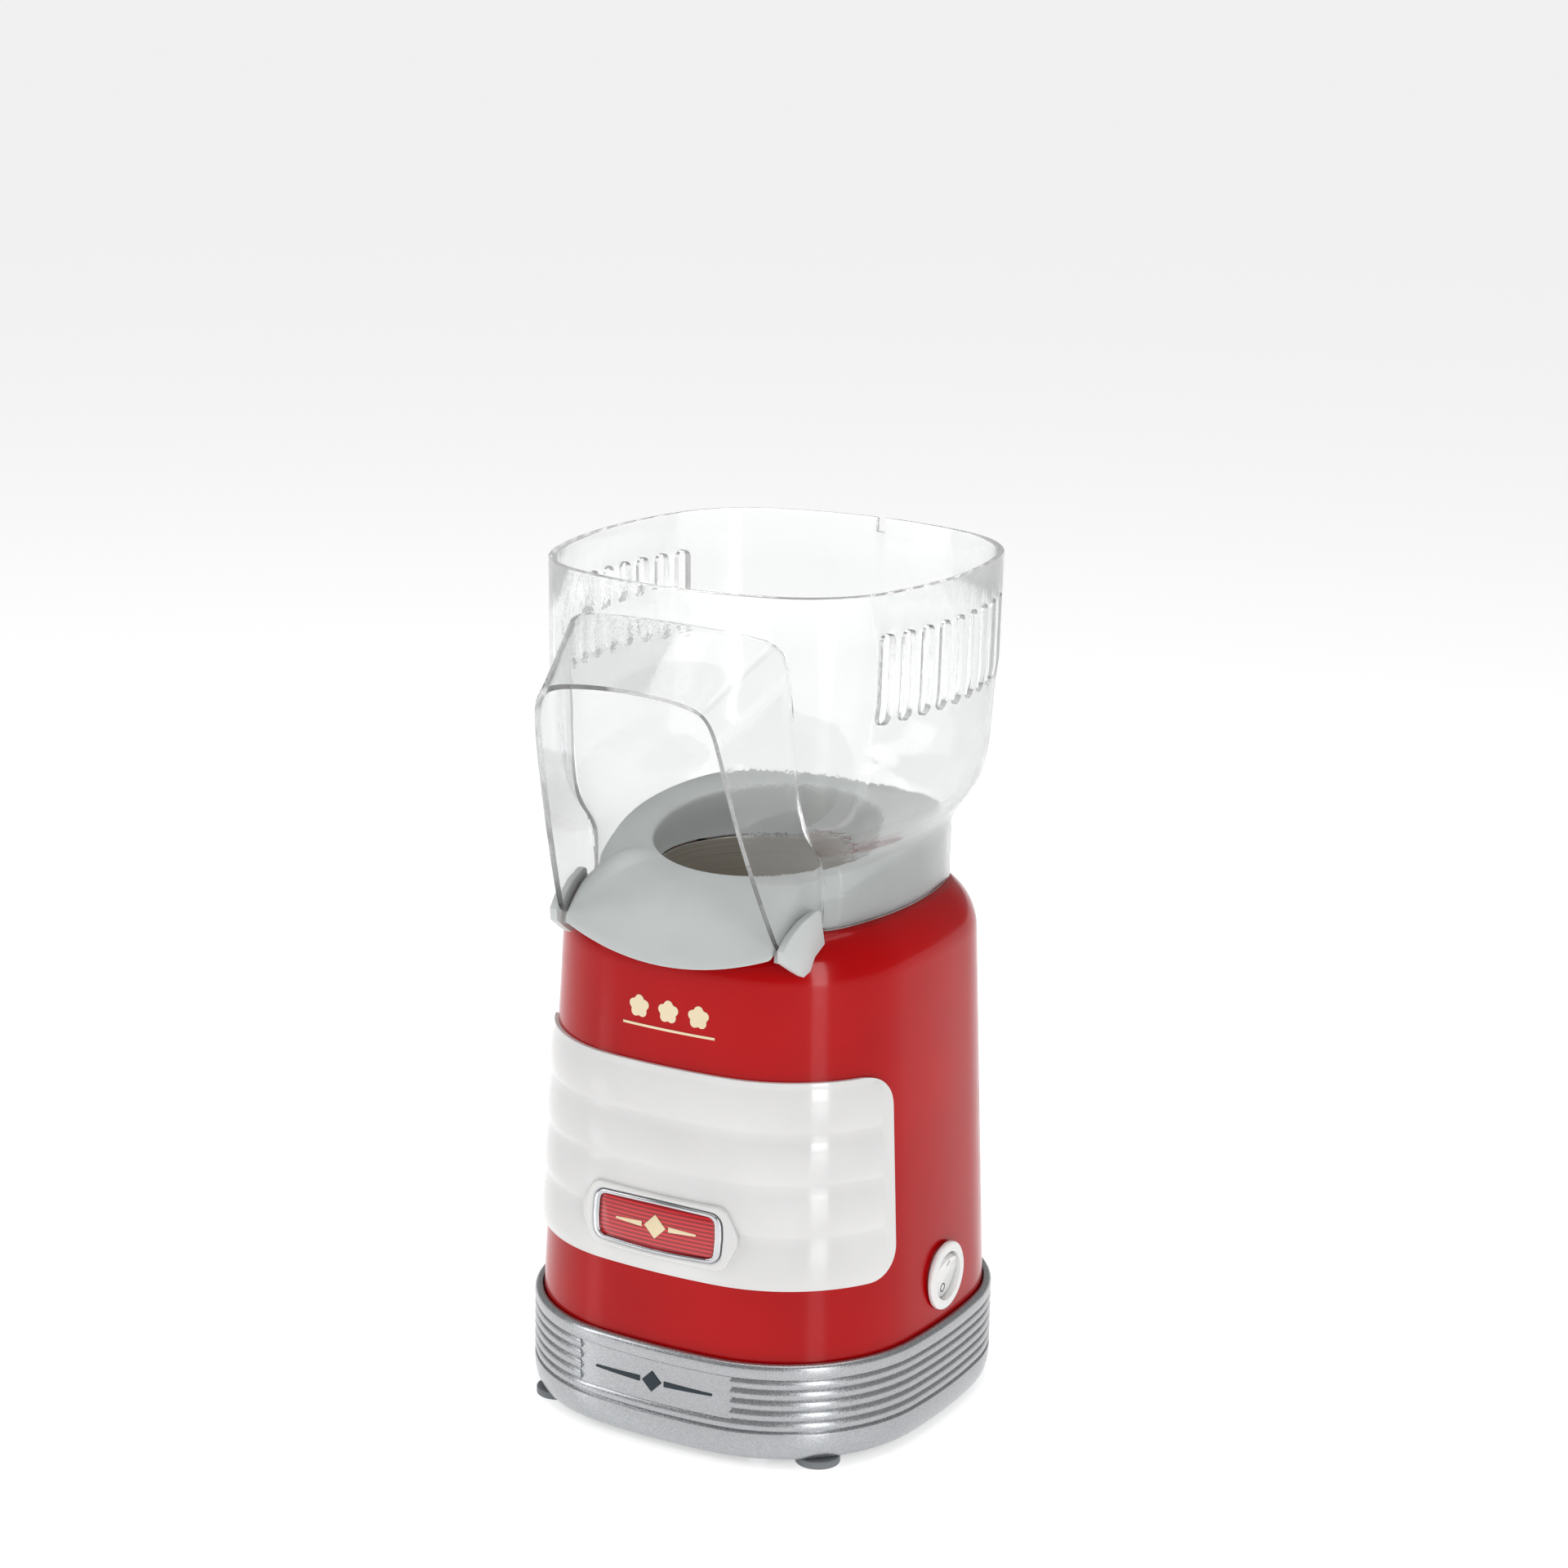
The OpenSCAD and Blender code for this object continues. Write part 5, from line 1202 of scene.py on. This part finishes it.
class POPCORN_OT_gland(bpy.types.Operator):
    """Spins the round gland at the back that the mains cord would pass through"""
    bl_idname = "popcorn.gland"
    bl_label = "Cord gland"

    def execute(self, context):
        section = [(3.6, -9), (8.6, -9), (8.6, -5.4), (6.6, -5.2), (6.6, -1.5), (8.6, -1.5), (8.6, -0.7),
                   (8.1, -0.2), (7.2, 0), (4.6, 0), (3.9, -0.2), (3.6, -0.8)]
        boot = lathe("gland_boot", mm(section), (0, 0, 0), 64)
        settle(boot, (0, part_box("cord_gland")[1][1], middle("cord_gland", 2)), (-math.pi / 2, 0, 0))
        outwards(boot)
        dress(boot, "black_plastic", "base", "cord_gland", angle=35)
        return {"FINISHED"}


class POPCORN_OT_inside(bpy.types.Operator):
    """Gives the motor, heater, wiring and fixings their finishes"""
    bl_idname = "popcorn.inside"
    bl_label = "Inner parts"

    def execute(self, context):
        for row in frame["record"]["subparts"]:
            obj = frame["nodes"][row["node"]]
            obj.data.materials.clear()
            obj.data.materials.append(material(row["material_slot"]))
        return {"FINISHED"}


# ---- stage ----

def area_light(name, place, aim, size, power):
    clear_selection()
    bpy.ops.object.light_add(type="AREA", location=place)
    lamp = bpy.context.object
    lamp.name = name
    lamp.data.shape = "RECTANGLE"
    lamp.data.size, lamp.data.size_y = size
    lamp.data.energy = power
    lamp.rotation_euler = (Vector(aim) - Vector(place)).to_track_quat("-Z", "Y").to_euler()


class POPCORN_OT_stage(bpy.types.Operator):
    """Adds the pale floor, the soft studio lights and the camera"""
    bl_idname = "popcorn.stage"
    bl_label = "Studio"

    def execute(self, context):
        clear_selection()
        bpy.ops.mesh.primitive_plane_add(size=60, location=(0, 0, 0))
        floor = named("studio_floor")
        floor.data.materials.append(stage_white("Gloss_white_board", "#F4F4F4", 0.2))
        world = bpy.data.worlds.new("Studio")
        context.scene.world = world
        world.use_nodes = True
        world.node_tree.nodes["Background"].inputs["Color"].default_value = (1, 1, 1, 1)
        world.node_tree.nodes["Background"].inputs["Strength"].default_value = 0.3
        aim = (0, 0, 0.15)
        area_light("key_left", (-1.1, -0.9, 0.8), aim, (0.35, 1.2), 4.5)
        area_light("strip_right", (1.1, -0.75, 0.5), aim, (0.3, 1.0), 4.5)
        area_light("top", (0, 0.1, 1.5), aim, (1.2, 1.0), 6)
        az, el, roll = math.radians(29.9), math.radians(14.77), 0.020
        back = Vector((math.sin(az) * math.cos(el), -math.cos(az) * math.cos(el), math.sin(el)))
        right = Vector((math.cos(az), math.sin(az), 0))
        up = back.cross(right)
        right2 = right * math.cos(roll) + up * math.sin(roll)
        up2 = up * math.cos(roll) - right * math.sin(roll)
        target = Vector((0, AXIS_Y, 0.20736)) + right * 0.00325
        place = target + back * 1.21767
        bpy.ops.object.camera_add(location=place)
        camera = bpy.context.object
        camera.name = "studio_camera"
        camera.matrix_world = Matrix(((right2.x, up2.x, back.x, place.x), (right2.y, up2.y, back.y, place.y),
                                      (right2.z, up2.z, back.z, place.z), (0, 0, 0, 1)))
        camera.data.sensor_width = 36
        camera.data.lens = 85.73
        camera.data.clip_start, camera.data.clip_end = 0.05, 20
        context.scene.camera = camera
        context.scene.view_settings.view_transform = "Standard"
        context.scene.view_settings.look = "Medium High Contrast"
        return {"FINISHED"}


# ---- properties, panel and registration ----

class PopcornSizes(bpy.types.PropertyGroup):
    """Sizes that change the look without moving a joint or a fit"""
    wave_crest: FloatProperty(name="Wave crest", description="Thickness of the white panel at a wave's crest",
                              default=0.0021, min=0.0012, max=0.0035, unit="LENGTH")
    slot_width: FloatProperty(name="Slot width", description="Width of one vent slot in the hood",
                              default=0.0052, min=0.003, max=0.007, unit="LENGTH")
    slot_height: FloatProperty(name="Slot height", description="Height of one vent slot in the hood",
                               default=0.029, min=0.015, max=0.036, unit="LENGTH")
    slot_pitch: FloatProperty(name="Slot pitch", description="Distance between two vent slots",
                              default=0.0094, min=0.007, max=0.012, unit="LENGTH")
    slot_count: IntProperty(name="Slots", description="Number of vent slots in each side of the hood",
                            default=9, min=3, max=11)


OPERATORS = (POPCORN_OT_housing, POPCORN_OT_panel, POPCORN_OT_badge, POPCORN_OT_prints, POPCORN_OT_base,
             POPCORN_OT_hood, POPCORN_OT_tray, POPCORN_OT_switch, POPCORN_OT_chamber, POPCORN_OT_gland,
             POPCORN_OT_inside, POPCORN_OT_stage)


class POPCORN_PT_panel(bpy.types.Panel):
    """Lists the sizes and the steps that build the popcorn maker"""
    bl_idname = "POPCORN_PT_panel"
    bl_label = "Popcorn maker"
    bl_space_type = "VIEW_3D"
    bl_region_type = "UI"
    bl_category = "Popcorn"

    def draw(self, context):
        sizes = context.scene.popcorn_sizes
        for key in ("wave_crest", "slot_width", "slot_height", "slot_pitch", "slot_count"):
            self.layout.prop(sizes, key)
        for op in OPERATORS:
            self.layout.operator(op.bl_idname)


CLASSES = (PopcornSizes, *OPERATORS, POPCORN_PT_panel)


def register():
    for cls in CLASSES:
        bpy.utils.register_class(cls)
    bpy.types.Scene.popcorn_sizes = PointerProperty(type=PopcornSizes)


def unregister():
    del bpy.types.Scene.popcorn_sizes
    for cls in reversed(CLASSES):
        bpy.utils.unregister_class(cls)


def main():
    register()
    bpy.ops.popcorn.inside()
    for op in OPERATORS:
        if op is not POPCORN_OT_inside:
            getattr(bpy.ops.popcorn, op.bl_idname.split(".")[1])()
    clear_selection()


if __name__ == "__main__":
    main()
